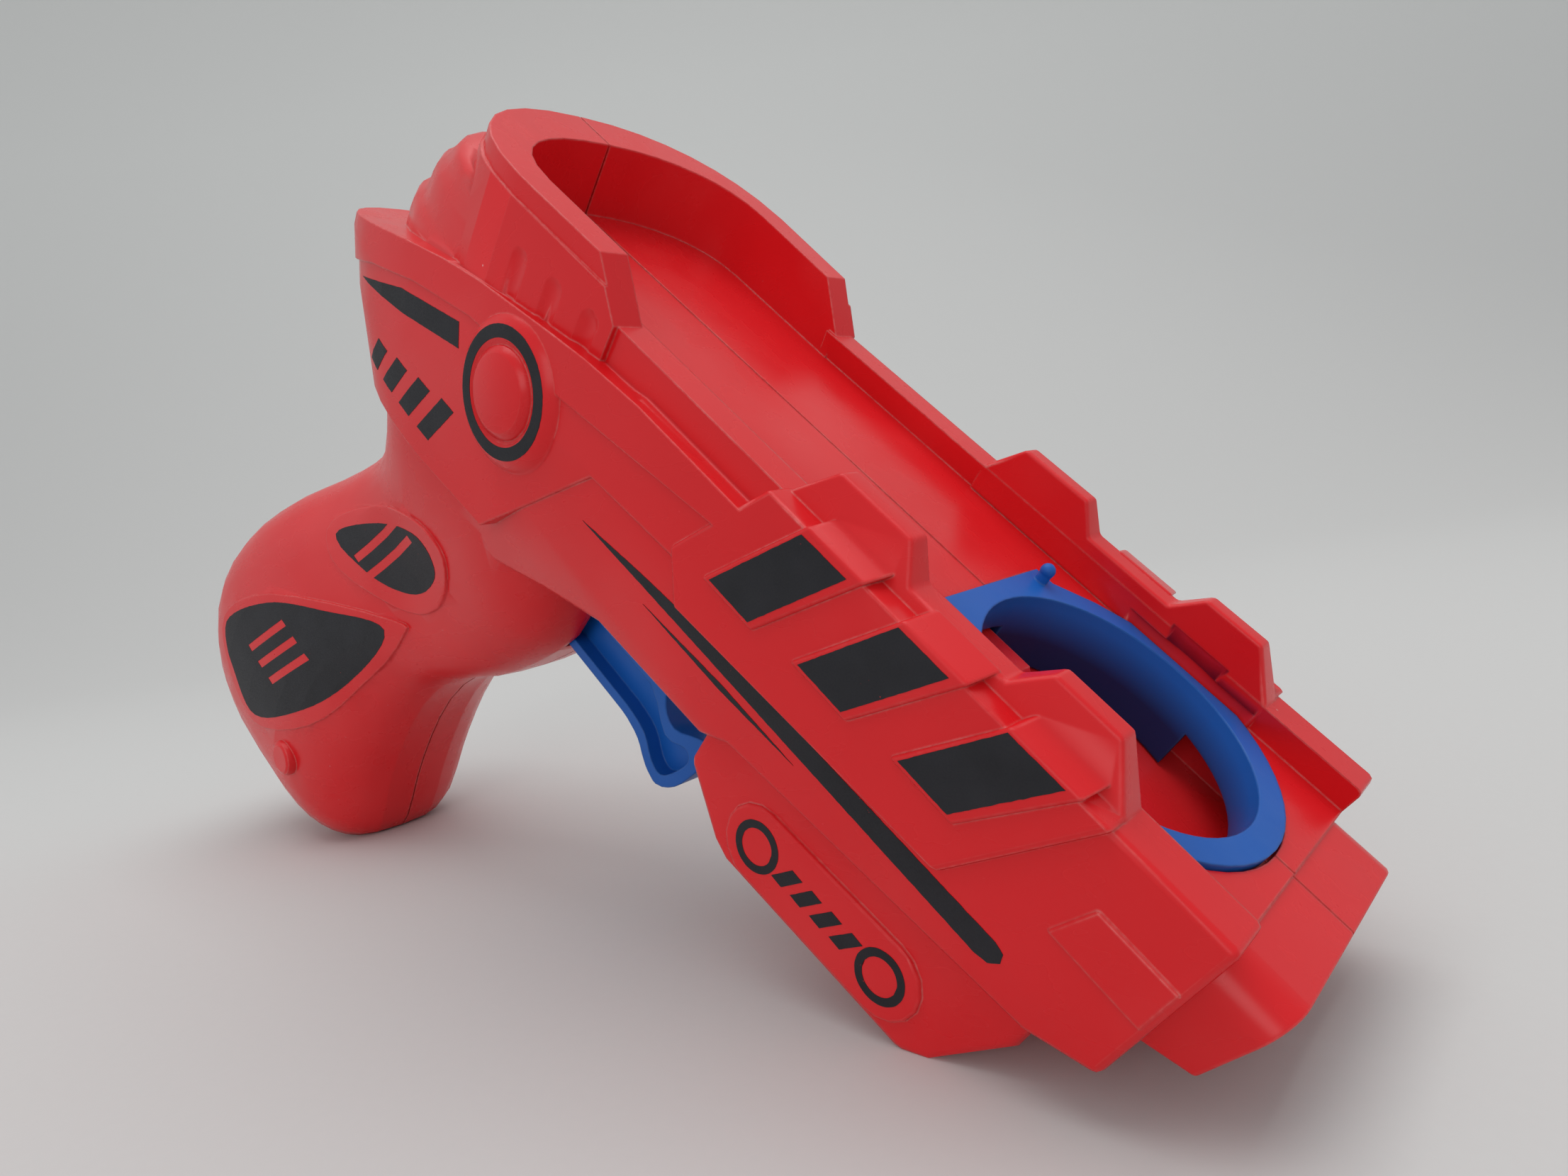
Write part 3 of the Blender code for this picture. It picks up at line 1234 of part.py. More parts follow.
def main():
    """Build the launcher."""
    clear_scene()
    launcher = new_collection("foam_disc_launcher")
    frame = bpy.data.objects.new("launcher_frame", None)
    launcher.objects.link(frame)
    red = new_material("red_plastic", RED, 0.32)
    blue = new_material("blue_plastic", BLUE, 0.38)
    white = new_material("white_plastic", WHITE, 0.45)
    steel = new_material("steel", STEEL, 0.3, 1.0)

    right, left = shell_pair()
    parts = [
        place(launcher, frame, right_shell(right), "right_shell", red),
        place(launcher, frame, left_shell(left), "left_shell", red),
        place(launcher, frame, disc_tube(), "disc_tube", blue),
        place(launcher, frame, striker(), "striker", red),
        place(launcher, frame, trigger(), "trigger", blue),
    ]
    pivot = (PAWL_X, 0.0, PAWL_Z)
    parts.append(place(launcher, frame, pawl(), "pawl", white, pivot))
    parts.append(place(launcher, frame, pawl_pin(), "pawl_pin", steel, pivot))

    rear = CHANNEL_END_X + GAP
    length = STRIKER_REAR_X - GAP - rear
    start = (rear, 0, STRIKER_MID_Z)
    spring = coil("striker_spring", start, length, "X", STRIKER_SPRING_RADIUS, STRIKER_SPRING_WIRE, 12)
    parts.append(place(launcher, frame, spring, "striker_spring", steel))
    rear = TRIGGER_SEAT_X + GAP
    length = TRIGGER_TAIL_X - GAP - rear
    start = (rear, 0, TRIGGER_TAIL_MID_Z)
    spring = coil("trigger_spring", start, length, "X", TRIGGER_SPRING_RADIUS, TRIGGER_SPRING_WIRE, 9)
    parts.append(place(launcher, frame, spring, "trigger_spring", steel))
    low = PAWL_WELL_Z + GAP
    length = PAWL_Z + PAWL_BOSS - PAWL_ARM_TALL - GAP - low
    start = (PAWL_SPRING_X, 0, low)
    spring = coil("pawl_spring", start, length, "Z", PAWL_SPRING_RADIUS, PAWL_SPRING_WIRE, 5)
    parts.append(place(launcher, frame, spring, "pawl_spring", steel))

    for name, (x, z) in SCREW_PLACES.items():
        parts.append(place(launcher, frame, screw(), name, steel, (x, SCREW_SEAT_Y, z)))
    stand(frame, parts)


main()
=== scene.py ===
"""Looks of the foam disc launcher.

Moulded red shells, a blue tube and trigger, black prints and a pale studio. Places on the launcher
are written in its own frame, in millimetres: X forward along the deck, Y to the left and Z square
to the deck, with the origin on the deck's front edge.
"""

import json
import logging
import math
from dataclasses import dataclass, field, replace
from enum import Enum

import bmesh
import bpy
from mathutils import Matrix, Vector, noise
from mathutils.bvhtree import BVHTree


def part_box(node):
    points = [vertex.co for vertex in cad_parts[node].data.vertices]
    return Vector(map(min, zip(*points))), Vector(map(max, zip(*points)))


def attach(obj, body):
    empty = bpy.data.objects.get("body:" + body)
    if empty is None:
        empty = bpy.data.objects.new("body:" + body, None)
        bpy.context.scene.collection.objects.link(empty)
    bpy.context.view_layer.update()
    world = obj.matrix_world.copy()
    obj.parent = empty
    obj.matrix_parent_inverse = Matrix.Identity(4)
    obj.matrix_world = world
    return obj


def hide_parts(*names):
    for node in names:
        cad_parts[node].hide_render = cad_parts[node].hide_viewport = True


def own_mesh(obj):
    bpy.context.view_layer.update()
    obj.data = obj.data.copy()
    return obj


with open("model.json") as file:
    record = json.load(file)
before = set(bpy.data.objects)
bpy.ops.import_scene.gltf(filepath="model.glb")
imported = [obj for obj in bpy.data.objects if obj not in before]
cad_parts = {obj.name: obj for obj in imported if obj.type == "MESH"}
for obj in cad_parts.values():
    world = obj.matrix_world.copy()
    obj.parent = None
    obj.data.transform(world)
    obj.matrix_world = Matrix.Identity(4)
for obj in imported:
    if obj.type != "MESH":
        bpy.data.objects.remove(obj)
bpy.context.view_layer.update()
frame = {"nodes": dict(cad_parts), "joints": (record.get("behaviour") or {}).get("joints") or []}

MM = 0.001
PRINT_EDGE_SEED = 5
LOG = logging.getLogger("foam_disc_launcher")

Point = tuple[float, float]
Band = tuple[float, float]
Outline = list[Point]
Triple = tuple[float, float, float]
Colour = tuple[float, float, float]
Socket = bpy.types.NodeSocket

EVEN: Triple = (1.0, 1.0, 1.0)
FINE_DETAIL = 4.0
USUAL_DETAIL = 3.0
BROAD_DETAIL = 2.0
NO_DETAIL = 0.0
BEVEL_SAMPLES = 4
EDGE_FLAT = 0.995
EDGE_SHARP = 0.82
MIX_FIRST = 6
MIX_SECOND = 7
MIX_RESULT = 2


class Side(Enum):
    """The launcher's two sides, as signs along Y."""

    LEFT = 1
    RIGHT = -1


class Body(Enum):
    """The bodies that pieces ride on."""

    LAUNCHER = "launcher_body"
    TRIGGER = "trigger"
    STRIKER = "striker"
    PAWL = "pawl"


def find_joint(name: str) -> dict:
    """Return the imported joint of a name."""
    return next(joint for joint in frame["joints"] if joint["name"] == name)


@dataclass(frozen=True)
class LauncherFrame:
    """The launcher's own frame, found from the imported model."""

    origin: Vector
    forward: Vector
    up: Vector

    @classmethod
    def from_pack(cls, pivot_x: float, pivot_z: float) -> "LauncherFrame":
        """Find the frame from the trigger's sliding axis and the pawl pin.

        Args:
            pivot_x: The pawl pin's place along the deck, in millimetres.
            pivot_z: The pawl pin's place below the deck, in millimetres.

        Returns:
            The launcher's frame.
        """
        forward = Vector(find_joint("trigger_slide")["axis"]).normalized()
        if forward.x < 0:
            forward.negate()
        up = forward.cross(Vector((0.0, 1.0, 0.0))).normalized()
        low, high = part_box("pawl_pin")
        origin = (low + high) / 2 - forward * pivot_x * MM - up * pivot_z * MM
        return cls(origin, forward, up)

    def world(self, x: float, y: float, z: float) -> Vector:
        """Return the world place of a point in launcher millimetres."""
        return self.origin + (self.forward * x + Vector((0.0, y, 0.0)) + self.up * z) * MM

    def flat(self, place: Vector) -> Point:
        """Return where a world place lies on the launcher's side, in millimetres."""
        apart = (place - self.origin) / MM
        return apart.dot(self.forward), apart.dot(self.up)

    def turn(self, x: float, y: float, z: float) -> Vector:
        """Return the world direction of a direction in the launcher's frame."""
        return (self.forward * x + Vector((0.0, y, 0.0)) + self.up * z).normalized()


PAWL_PIVOT_X = -84.0
PAWL_PIVOT_Z = -15.6
LAUNCHER = LauncherFrame.from_pack(PAWL_PIVOT_X, PAWL_PIVOT_Z)


@dataclass
class Graph:
    """A material's node tree, with short calls for the nodes that the finishes use."""

    material: bpy.types.Material
    tree: bpy.types.NodeTree = field(init=False)
    shader: bpy.types.Node = field(init=False)

    def __post_init__(self) -> None:
        """Open the tree and find its shader."""
        self.material.use_nodes = True
        self.tree = self.material.node_tree
        self.shader = self.tree.nodes["Principled BSDF"]

    def add(self, kind: str, **values: object) -> bpy.types.Node:
        """Add a node and set its properties.

        Args:
            kind: The node's type.
            **values: Properties of the node, by name.

        Returns:
            The new node.
        """
        node = self.tree.nodes.new(kind)
        for name, value in values.items():
            setattr(node, name, value)
        return node

    def link(self, source: Socket, target: Socket) -> None:
        """Join two sockets."""
        self.tree.links.new(source, target)

    def place(self, stretch: Triple = EVEN) -> Socket:
        """Return the object's own coordinates, stretched along its axes.

        Args:
            stretch: The scale along each axis.

        Returns:
            The coordinates' socket.
        """
        coordinates = self.add("ShaderNodeTexCoord")
        mapping = self.add("ShaderNodeMapping")
        mapping.inputs["Scale"].default_value = stretch
        self.link(coordinates.outputs["Object"], mapping.inputs["Vector"])
        return mapping.outputs["Vector"]

    def noise(
        self, grain: float, detail: float = USUAL_DETAIL, stretch: Triple = EVEN
    ) -> Socket:
        """Return a noise whose grains have a given size.

        Args:
            grain: The size of a grain, in millimetres.
            detail: How many finer layers the noise has.
            stretch: The scale along each axis.

        Returns:
            The noise's value.
        """
        node = self.add("ShaderNodeTexNoise")
        node.inputs["Scale"].default_value = 1.0 / (grain * MM)
        node.inputs["Detail"].default_value = detail
        self.link(self.place(stretch), node.inputs["Vector"])
        return node.outputs["Fac"]

    def specks(self, spacing: float) -> Socket:
        """Return the distance to scattered points.

        Args:
            spacing: The usual distance between points, in millimetres.

        Returns:
            The distance, as a share of the spacing.
        """
        node = self.add("ShaderNodeTexVoronoi")
        node.inputs["Scale"].default_value = 1.0 / (spacing * MM)
        self.link(self.place(), node.inputs["Vector"])
        return node.outputs["Distance"]

    def ramp(
        self, value: Socket, low: float, high: float, start: float = 0.0, end: float = 1.0
    ) -> Socket:
        """Return a value mapped from one range to another and kept inside it.

        Args:
            value: The value to map.
            low: The value that becomes start.
            high: The value that becomes end.
            start: The result at low.
            end: The result at high.

        Returns:
            The mapped value.
        """
        node = self.add("ShaderNodeMapRange")
        node.inputs["From Min"].default_value = low
        node.inputs["From Max"].default_value = high
        node.inputs["To Min"].default_value = start
        node.inputs["To Max"].default_value = end
        self.link(value, node.inputs["Value"])
        return node.outputs["Result"]

    def math(self, operation: str, first: Socket, second: Socket) -> Socket:
        """Return a sum, product or other result of two values.

        Args:
            operation: The name of the operation.
            first: The first value.
            second: The second value.

        Returns:
            The result.
        """
        node = self.add("ShaderNodeMath", operation=operation)
        self.link(first, node.inputs[0])
        self.link(second, node.inputs[1])
        return node.outputs["Value"]

    def mix(self, share: Socket, first: Colour | Socket, second: Colour | Socket) -> Socket:
        """Return a colour between two colours.

        Args:
            share: How much of the second colour shows.
            first: A colour or a colour socket.
            second: A colour or a colour socket.

        Returns:
            The mixed colour.
        """
        node = self.add("ShaderNodeMix", data_type="RGBA")
        self.link(share, node.inputs["Factor"])
        for value, index in ((first, MIX_FIRST), (second, MIX_SECOND)):
            if isinstance(value, Socket):
                self.link(value, node.inputs[index])
            else:
                node.inputs[index].default_value = (*value, 1.0)
        return node.outputs[MIX_RESULT]

    def rounded(self, radius: float) -> Socket:
        """Return normals that turn softly over sharp edges.

        Args:
            radius: The radius of the edges, in millimetres.

        Returns:
            The normals.
        """
        node = self.add("ShaderNodeBevel", samples=BEVEL_SAMPLES)
        node.inputs["Radius"].default_value = radius * MM
        return node.outputs["Normal"]

    def edges(self, soft: Socket) -> Socket:
        """Return how close the surface is to a sharp edge.

        Args:
            soft: Normals that turn softly over the edges.

        Returns:
            One on an edge, zero away from it.
        """
        geometry = self.add("ShaderNodeNewGeometry")
        dot = self.add("ShaderNodeVectorMath", operation="DOT_PRODUCT")
        self.link(soft, dot.inputs[0])
        self.link(geometry.outputs["Normal"], dot.inputs[1])
        return self.ramp(dot.outputs["Value"], EDGE_FLAT, EDGE_SHARP)

    def depth(self, start: float, reach: float) -> Socket:
        """Return how far the surface lies below the launcher's deck.

        Args:
            start: The depth at which the result leaves zero, in millimetres.
            reach: The depth at which the result is one, in millimetres.

        Returns:
            Zero near the deck, one far below it.
        """
        dot = self.add("ShaderNodeVectorMath", operation="DOT_PRODUCT")
        self.link(self.place(), dot.inputs[0])
        dot.inputs[1].default_value = LAUNCHER.up
        deck = LAUNCHER.origin.dot(LAUNCHER.up)
        return self.ramp(dot.outputs["Value"], deck - start * MM, deck - reach * MM)

    def bump(
        self, height: Socket, strength: float, depth: float, normal: Socket | None = None
    ) -> Socket:
        """Return normals that follow a fine relief.

        Args:
            height: The relief's height, from zero to one.
            strength: How strongly the relief shows.
            depth: The relief's depth, in millimetres.
            normal: The normals under the relief, or none for the surface's own.

        Returns:
            The normals.
        """
        node = self.add("ShaderNodeBump")
        node.inputs["Strength"].default_value = strength
        node.inputs["Distance"].default_value = depth * MM
        self.link(height, node.inputs["Height"])
        if normal is not None:
            self.link(normal, node.inputs["Normal"])
        return node.outputs["Normal"]

    def set(self, **values: object) -> None:
        """Set or link the shader's inputs.

        Args:
            **values: Numbers or sockets, by input name with underscores for spaces.
        """
        for name, value in values.items():
            socket = self.shader.inputs[name.replace("_", " ")]
            if isinstance(value, Socket):
                self.link(value, socket)
            else:
                socket.default_value = value


@dataclass(frozen=True)
class MouldedPlastic:
    """Injection moulded plastic: flow marks, frost, scuffs, pale edges partly from rubbing and
    partly a painted highlight, and a little dust.

    Grains, radii, spacings and depths are in millimetres. A band holds the two values of a noise
    between which a mark goes from none to full.
    """

    name: str
    colour: Colour
    shade: Colour
    pale_wear_and_highlight: Colour
    rough_low: float
    rough_high: float
    frost: float = 0.0
    edge_wear_and_highlight: float = 0.5
    dust: float = 0.5
    dust_colour: Colour = (0.72, 0.6, 0.58)
    painted_shade: Colour | None = None
    painted_shade_start: float = 0.8
    painted_shade_reach: float = 5.5
    edge_radius: float = 0.38
    flow_grain: float = 26.0
    flow_band: Band = (0.35, 0.68)
    frost_grain: float = 24.0
    frost_band: Band = (0.5, 0.75)
    frost_dulling: float = 0.6
    scuff_grain: float = 5.0
    scuff_band: Band = (0.32, 0.72)
    scuff_stretch: Triple = (0.4, 1.0, 1.0)
    ripple_grain: float = 12.0
    ripple_strength: float = 0.03
    ripple_depth: float = 0.03
    ragged_grain: float = 0.8
    ragged_band: Band = (0.36, 0.62)
    ragged_least: float = 0.45
    chip_grain: float = 11.0
    chip_band: Band = (0.4, 0.62)
    chip_least: float = 0.5
    edge_wear_and_highlight_band: Band = (0.04, 0.85)
    dust_spacing: float = 4.5
    dust_band: Band = (0.04, 0.025)
    patch_grain: float = 6.0
    patch_band: Band = (0.56, 0.68)
    ior: float = 1.36

    def tint(self, graph: Graph, soft: Socket, frost: Socket) -> Socket:
        """Return the plastic's colour, with a painted highlight on its edges and, where set,
        painted shade with depth.

        Args:
            graph: The material's nodes.
            soft: Normals that turn softly over the edges.
            frost: Where the surface is frosted.

        Returns:
            The colour.
        """
        flow = graph.ramp(graph.noise(self.flow_grain, BROAD_DETAIL), *self.flow_band)
        colour = graph.mix(flow, self.shade, self.colour)
        # Painted shade: the colour darkens with depth below the deck, standing in for the shade
        # inside the tube's bore.
        if self.painted_shade:
            colour = graph.mix(graph.depth(self.painted_shade_start, self.painted_shade_reach), colour, self.painted_shade)
        colour = graph.mix(frost, colour, self.pale_wear_and_highlight)
        fine = graph.noise(self.ragged_grain, FINE_DETAIL)
        ragged = graph.ramp(fine, *self.ragged_band, self.ragged_least)
        broad = graph.noise(self.chip_grain, BROAD_DETAIL)
        chipped = graph.ramp(broad, *self.chip_band, self.chip_least)
        # Pale edges: partly rubbing, partly a painted highlight. The least shares of the ragged
        # and chipped noises keep every sharp edge a little lighter, like a highlight line.
        edge = graph.math("MULTIPLY", graph.math("MULTIPLY", graph.edges(soft), ragged), chipped)
        colour = graph.mix(graph.ramp(edge, *self.edge_wear_and_highlight_band, 0.0, self.edge_wear_and_highlight), colour, self.pale_wear_and_highlight)
        dots = graph.ramp(graph.specks(self.dust_spacing), *self.dust_band)
        patches = graph.ramp(graph.noise(self.patch_grain), *self.patch_band, 0.0, self.dust)
        return graph.mix(graph.math("MULTIPLY", dots, patches), colour, self.dust_colour)

    def build(self) -> bpy.types.Material:
        """Make the material.

        Returns:
            The finished material.
        """
        graph = Graph(bpy.data.materials.new(self.name))
        soft = graph.rounded(self.edge_radius)
        cloud = graph.noise(self.frost_grain, BROAD_DETAIL)
        frost = graph.ramp(cloud, *self.frost_band, 0.0, self.frost)
        scuffs = graph.noise(self.scuff_grain, stretch=self.scuff_stretch)
        gloss = graph.ramp(scuffs, *self.scuff_band, self.rough_low, self.rough_high)
        dulling = graph.ramp(frost, 0.0, 1.0, 0.0, self.frost_dulling)
        roughness = graph.math("ADD", gloss, dulling)
        ripple = graph.noise(self.ripple_grain, NO_DETAIL)
        normal = graph.bump(ripple, self.ripple_strength, self.ripple_depth, soft)
        colour = self.tint(graph, soft, frost)
        graph.set(Base_Color=colour, Roughness=roughness, Normal=normal, IOR=self.ior)
        return graph.material


@dataclass(frozen=True)
class PrintInk:
    """Pad-printed black ink, a little thin in places."""

    name: str
    colour: Colour
    pale: Colour
    under: Colour
    cloud_grain: float = 5.0
    cloud_band: Band = (0.3, 0.7)
    pin_spacing: float = 1.3
    pin_band: Band = (0.07, 0.04)
    thin_grain: float = 6.0
    thin_band: Band = (0.52, 0.64)
    tooth_grain: float = 0.2
    tooth_band: Band = (0.3, 0.7)
    tooth_strength: float = 0.16
    tooth_depth: float = 0.012
    rough_low: float = 0.46
    rough_high: float = 0.62
    specular: float = 0.3

    def build(self) -> bpy.types.Material:
        """Make the material.

        Returns:
            The finished material.
        """
        graph = Graph(bpy.data.materials.new(self.name))
        cloud = graph.ramp(graph.noise(self.cloud_grain), *self.cloud_band)
        colour = graph.mix(cloud, self.colour, self.pale)
        pins = graph.ramp(graph.specks(self.pin_spacing), *self.pin_band)
        thin = graph.ramp(graph.noise(self.thin_grain, BROAD_DETAIL), *self.thin_band)
        colour = graph.mix(graph.math("MULTIPLY", pins, thin), colour, self.under)
        tooth = graph.noise(self.tooth_grain)
        roughness = graph.ramp(tooth, *self.tooth_band, self.rough_low, self.rough_high)
        normal = graph.bump(tooth, self.tooth_strength, self.tooth_depth)
        graph.set(
            Base_Color=colour,
            Roughness=roughness,
            Normal=normal,
            Specular_IOR_Level=self.specular,
        )
        return graph.material


@dataclass(frozen=True)
class BrightSteel:
    """Zinc-plated steel with fine drawing lines."""

    name: str
    colour: Colour
    dull_share: float = 0.72
    cloud_grain: float = 3.0
    cloud_band: Band = (0.3, 0.7)
    line_grain: float = 0.25
    line_band: Band = (0.3, 0.7)
    line_stretch: Triple = (1.0, 0.15, 1.0)
    line_strength: float = 0.1
    line_depth: float = 0.02
    edge_radius: float = 0.12
    rough_low: float = 0.22
    rough_high: float = 0.4

    def build(self) -> bpy.types.Material:
        """Make the material.

        Returns:
            The finished material.
        """
        graph = Graph(bpy.data.materials.new(self.name))
        cloud = graph.ramp(graph.noise(self.cloud_grain), *self.cloud_band)
        dull = tuple(self.dull_share * part for part in self.colour)
        colour = graph.mix(cloud, self.colour, dull)
        lines = graph.noise(self.line_grain, stretch=self.line_stretch)
        roughness = graph.ramp(lines, *self.line_band, self.rough_low, self.rough_high)
        soft = graph.rounded(self.edge_radius)
        normal = graph.bump(lines, self.line_strength, self.line_depth, soft)
        graph.set(Base_Color=colour, Roughness=roughness, Normal=normal, Metallic=1.0)
        return graph.material


RED = MouldedPlastic(
    name="red_plastic",
    colour=(0.68, 0.012, 0.017),
    shade=(0.645, 0.01, 0.014),
    pale_wear_and_highlight=(0.8, 0.26, 0.24),
    rough_low=0.24,
    rough_high=0.31,
    frost=0.05,
    edge_wear_and_highlight=0.75,
)
BLUE = MouldedPlastic(
    name="blue_plastic",
    colour=(0.009, 0.11, 0.45),
    shade=(0.007, 0.09, 0.39),
    pale_wear_and_highlight=(0.08, 0.24, 0.6),
    rough_low=0.34,
    rough_high=0.48,
    edge_wear_and_highlight=0.4,
    dust=0.25,
)
# Painted shade: the bore's blue darkens with depth below the deck.
SHADED_BORE_BLUE = replace(BLUE, name="blue_bore_painted_shade", painted_shade=(0.003, 0.017, 0.08))
WHITE = MouldedPlastic(
    name="white_plastic",
    colour=(0.72, 0.72, 0.69),
    shade=(0.65, 0.65, 0.62),
    pale_wear_and_highlight=(0.8, 0.8, 0.78),
    rough_low=0.4,
    rough_high=0.55,
    dust=0.0,
)
INK = PrintInk(
    name="black_print",
    colour=(0.009, 0.009, 0.012),
    pale=(0.014, 0.014, 0.018),
    under=(0.3, 0.015, 0.016),
)
STEEL = BrightSteel(name="steel", colour=(0.6, 0.6, 0.61))


@dataclass
class Skin:
    """A CAD node's shown surface, with its facets welded and shaded as one moulding.

    The weld is in millimetres, the crease and flat angles in degrees.
    """

    node: str
    body: Body
    slot: str
    finish: bpy.types.Material
    crease: float = 24.0
    weld: float = 0.002
    flat_angle: float = 0.3
    area_weight: int = 80

    def build(self) -> bpy.types.Object:
        """Dress the node.

        Returns:
            The piece that stands for it.
        """
        bm = bmesh.new()
        bm.from_mesh(frame["nodes"][self.node].data)
        bmesh.ops.remove_doubles(bm, verts=bm.verts, dist=self.weld * MM)
        flat = math.radians(self.flat_angle)
        bmesh.ops.dissolve_limit(bm, angle_limit=flat, verts=bm.verts, edges=bm.edges)
        mesh = bpy.data.meshes.new(f"{self.node}_skin")
        bm.to_mesh(mesh)
        bm.free()
        mesh.shade_smooth()
        mesh.set_sharp_from_angle(angle=math.radians(self.crease))
        mesh.materials.append(self.finish)
        obj = add_piece(mesh, self.body)
        weights = obj.modifiers.new("even_shading", "WEIGHTED_NORMAL")
        weights.keep_sharp = True
        weights.weight = self.area_weight
        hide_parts(self.node)
        return obj


def add_piece(mesh: bpy.types.Mesh, body: Body) -> bpy.types.Object:
    """Put a finished mesh in the scene and let it ride on a body.

    Args:
        mesh: The piece's mesh, in world places.
        body: The body that it moves with.

    Returns:
        The new piece.
    """
    obj = bpy.data.objects.new(mesh.name, mesh)
    bpy.context.scene.collection.objects.link(obj)
    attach(obj, body.value)
    LOG.info("%s: %d faces on %s", obj.name, len(mesh.polygons), body.value)
    return obj


def compress(spring: bpy.types.Object) -> None:
    """Give a spring a mesh of its own.

    Args:
        spring: The spring, in world places.
    """
    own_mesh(spring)


def circle(centre: Point, radius: float, start: float, end: float, steps: int) -> Outline:
    """Return points along an arc.

    Args:
        centre: The arc's centre.
        radius: The arc's radius.
        start: The angle of its first point, in degrees.
        end: The angle of its last point, in degrees.
        steps: The number of stretches along it.

    Returns:
        The arc's points.
    """
    angles = (math.radians(start + (end - start) * step / steps) for step in range(steps + 1))
    return [
        (centre[0] + radius * math.cos(angle), centre[1] + radius * math.sin(angle))
        for angle in angles
    ]


def ring(centre: Point, outer: float, inner: float, steps: int = 28) -> list[Outline]:
    """Return a ring as two half rings.

    Args:
        centre: The ring's centre.
        outer: Its outer radius.
        inner: Its inner radius.
        steps: The number of stretches along each half.

    Returns:
        The outlines of both halves.
    """
    halves = ((0.0, 180.0), (180.0, 360.0))
    return [
        circle(centre, outer, start, end, steps) + circle(centre, inner, end, start, steps)
        for start, end in halves
    ]


def curve_through(points: Outline, steps: int = 6) -> Outline:
    """Return a closed smooth outline through points.

    Args:
        points: The points that it runs through.
        steps: The number of stretches between two points.

    Returns:
        The outline.
    """
    result = []
    count = len(points)
    for index in range(count):
        nearby = [Vector(points[(index + shift) % count]) for shift in (-1, 0, 1, 2)]
        before, start, end, after = nearby
        for step in range(steps):
            t = step / steps
            square = (2 * before - 5 * start + 4 * end - after) * t**2
            cube = (3 * start - before - 3 * end + after) * t**3
            bend = square + cube
            result.append(tuple((2 * start + (end - before) * t + bend) / 2))
    return result


def slanted_bar(rear: float, low: float, width: float, tall: float, lean: float) -> Outline:
    """Return a leaning bar.

    Args:
        rear: Its rear lower corner along the deck.
        low: The height of its lower edge.
        width: Its width along the deck.
        tall: Its height.
        lean: How far its top leans forward.

    Returns:
        The bar's outline.
    """
    top = rear + lean
    return [(rear, low), (rear + width, low), (top + width, low + tall), (top, low + tall)]


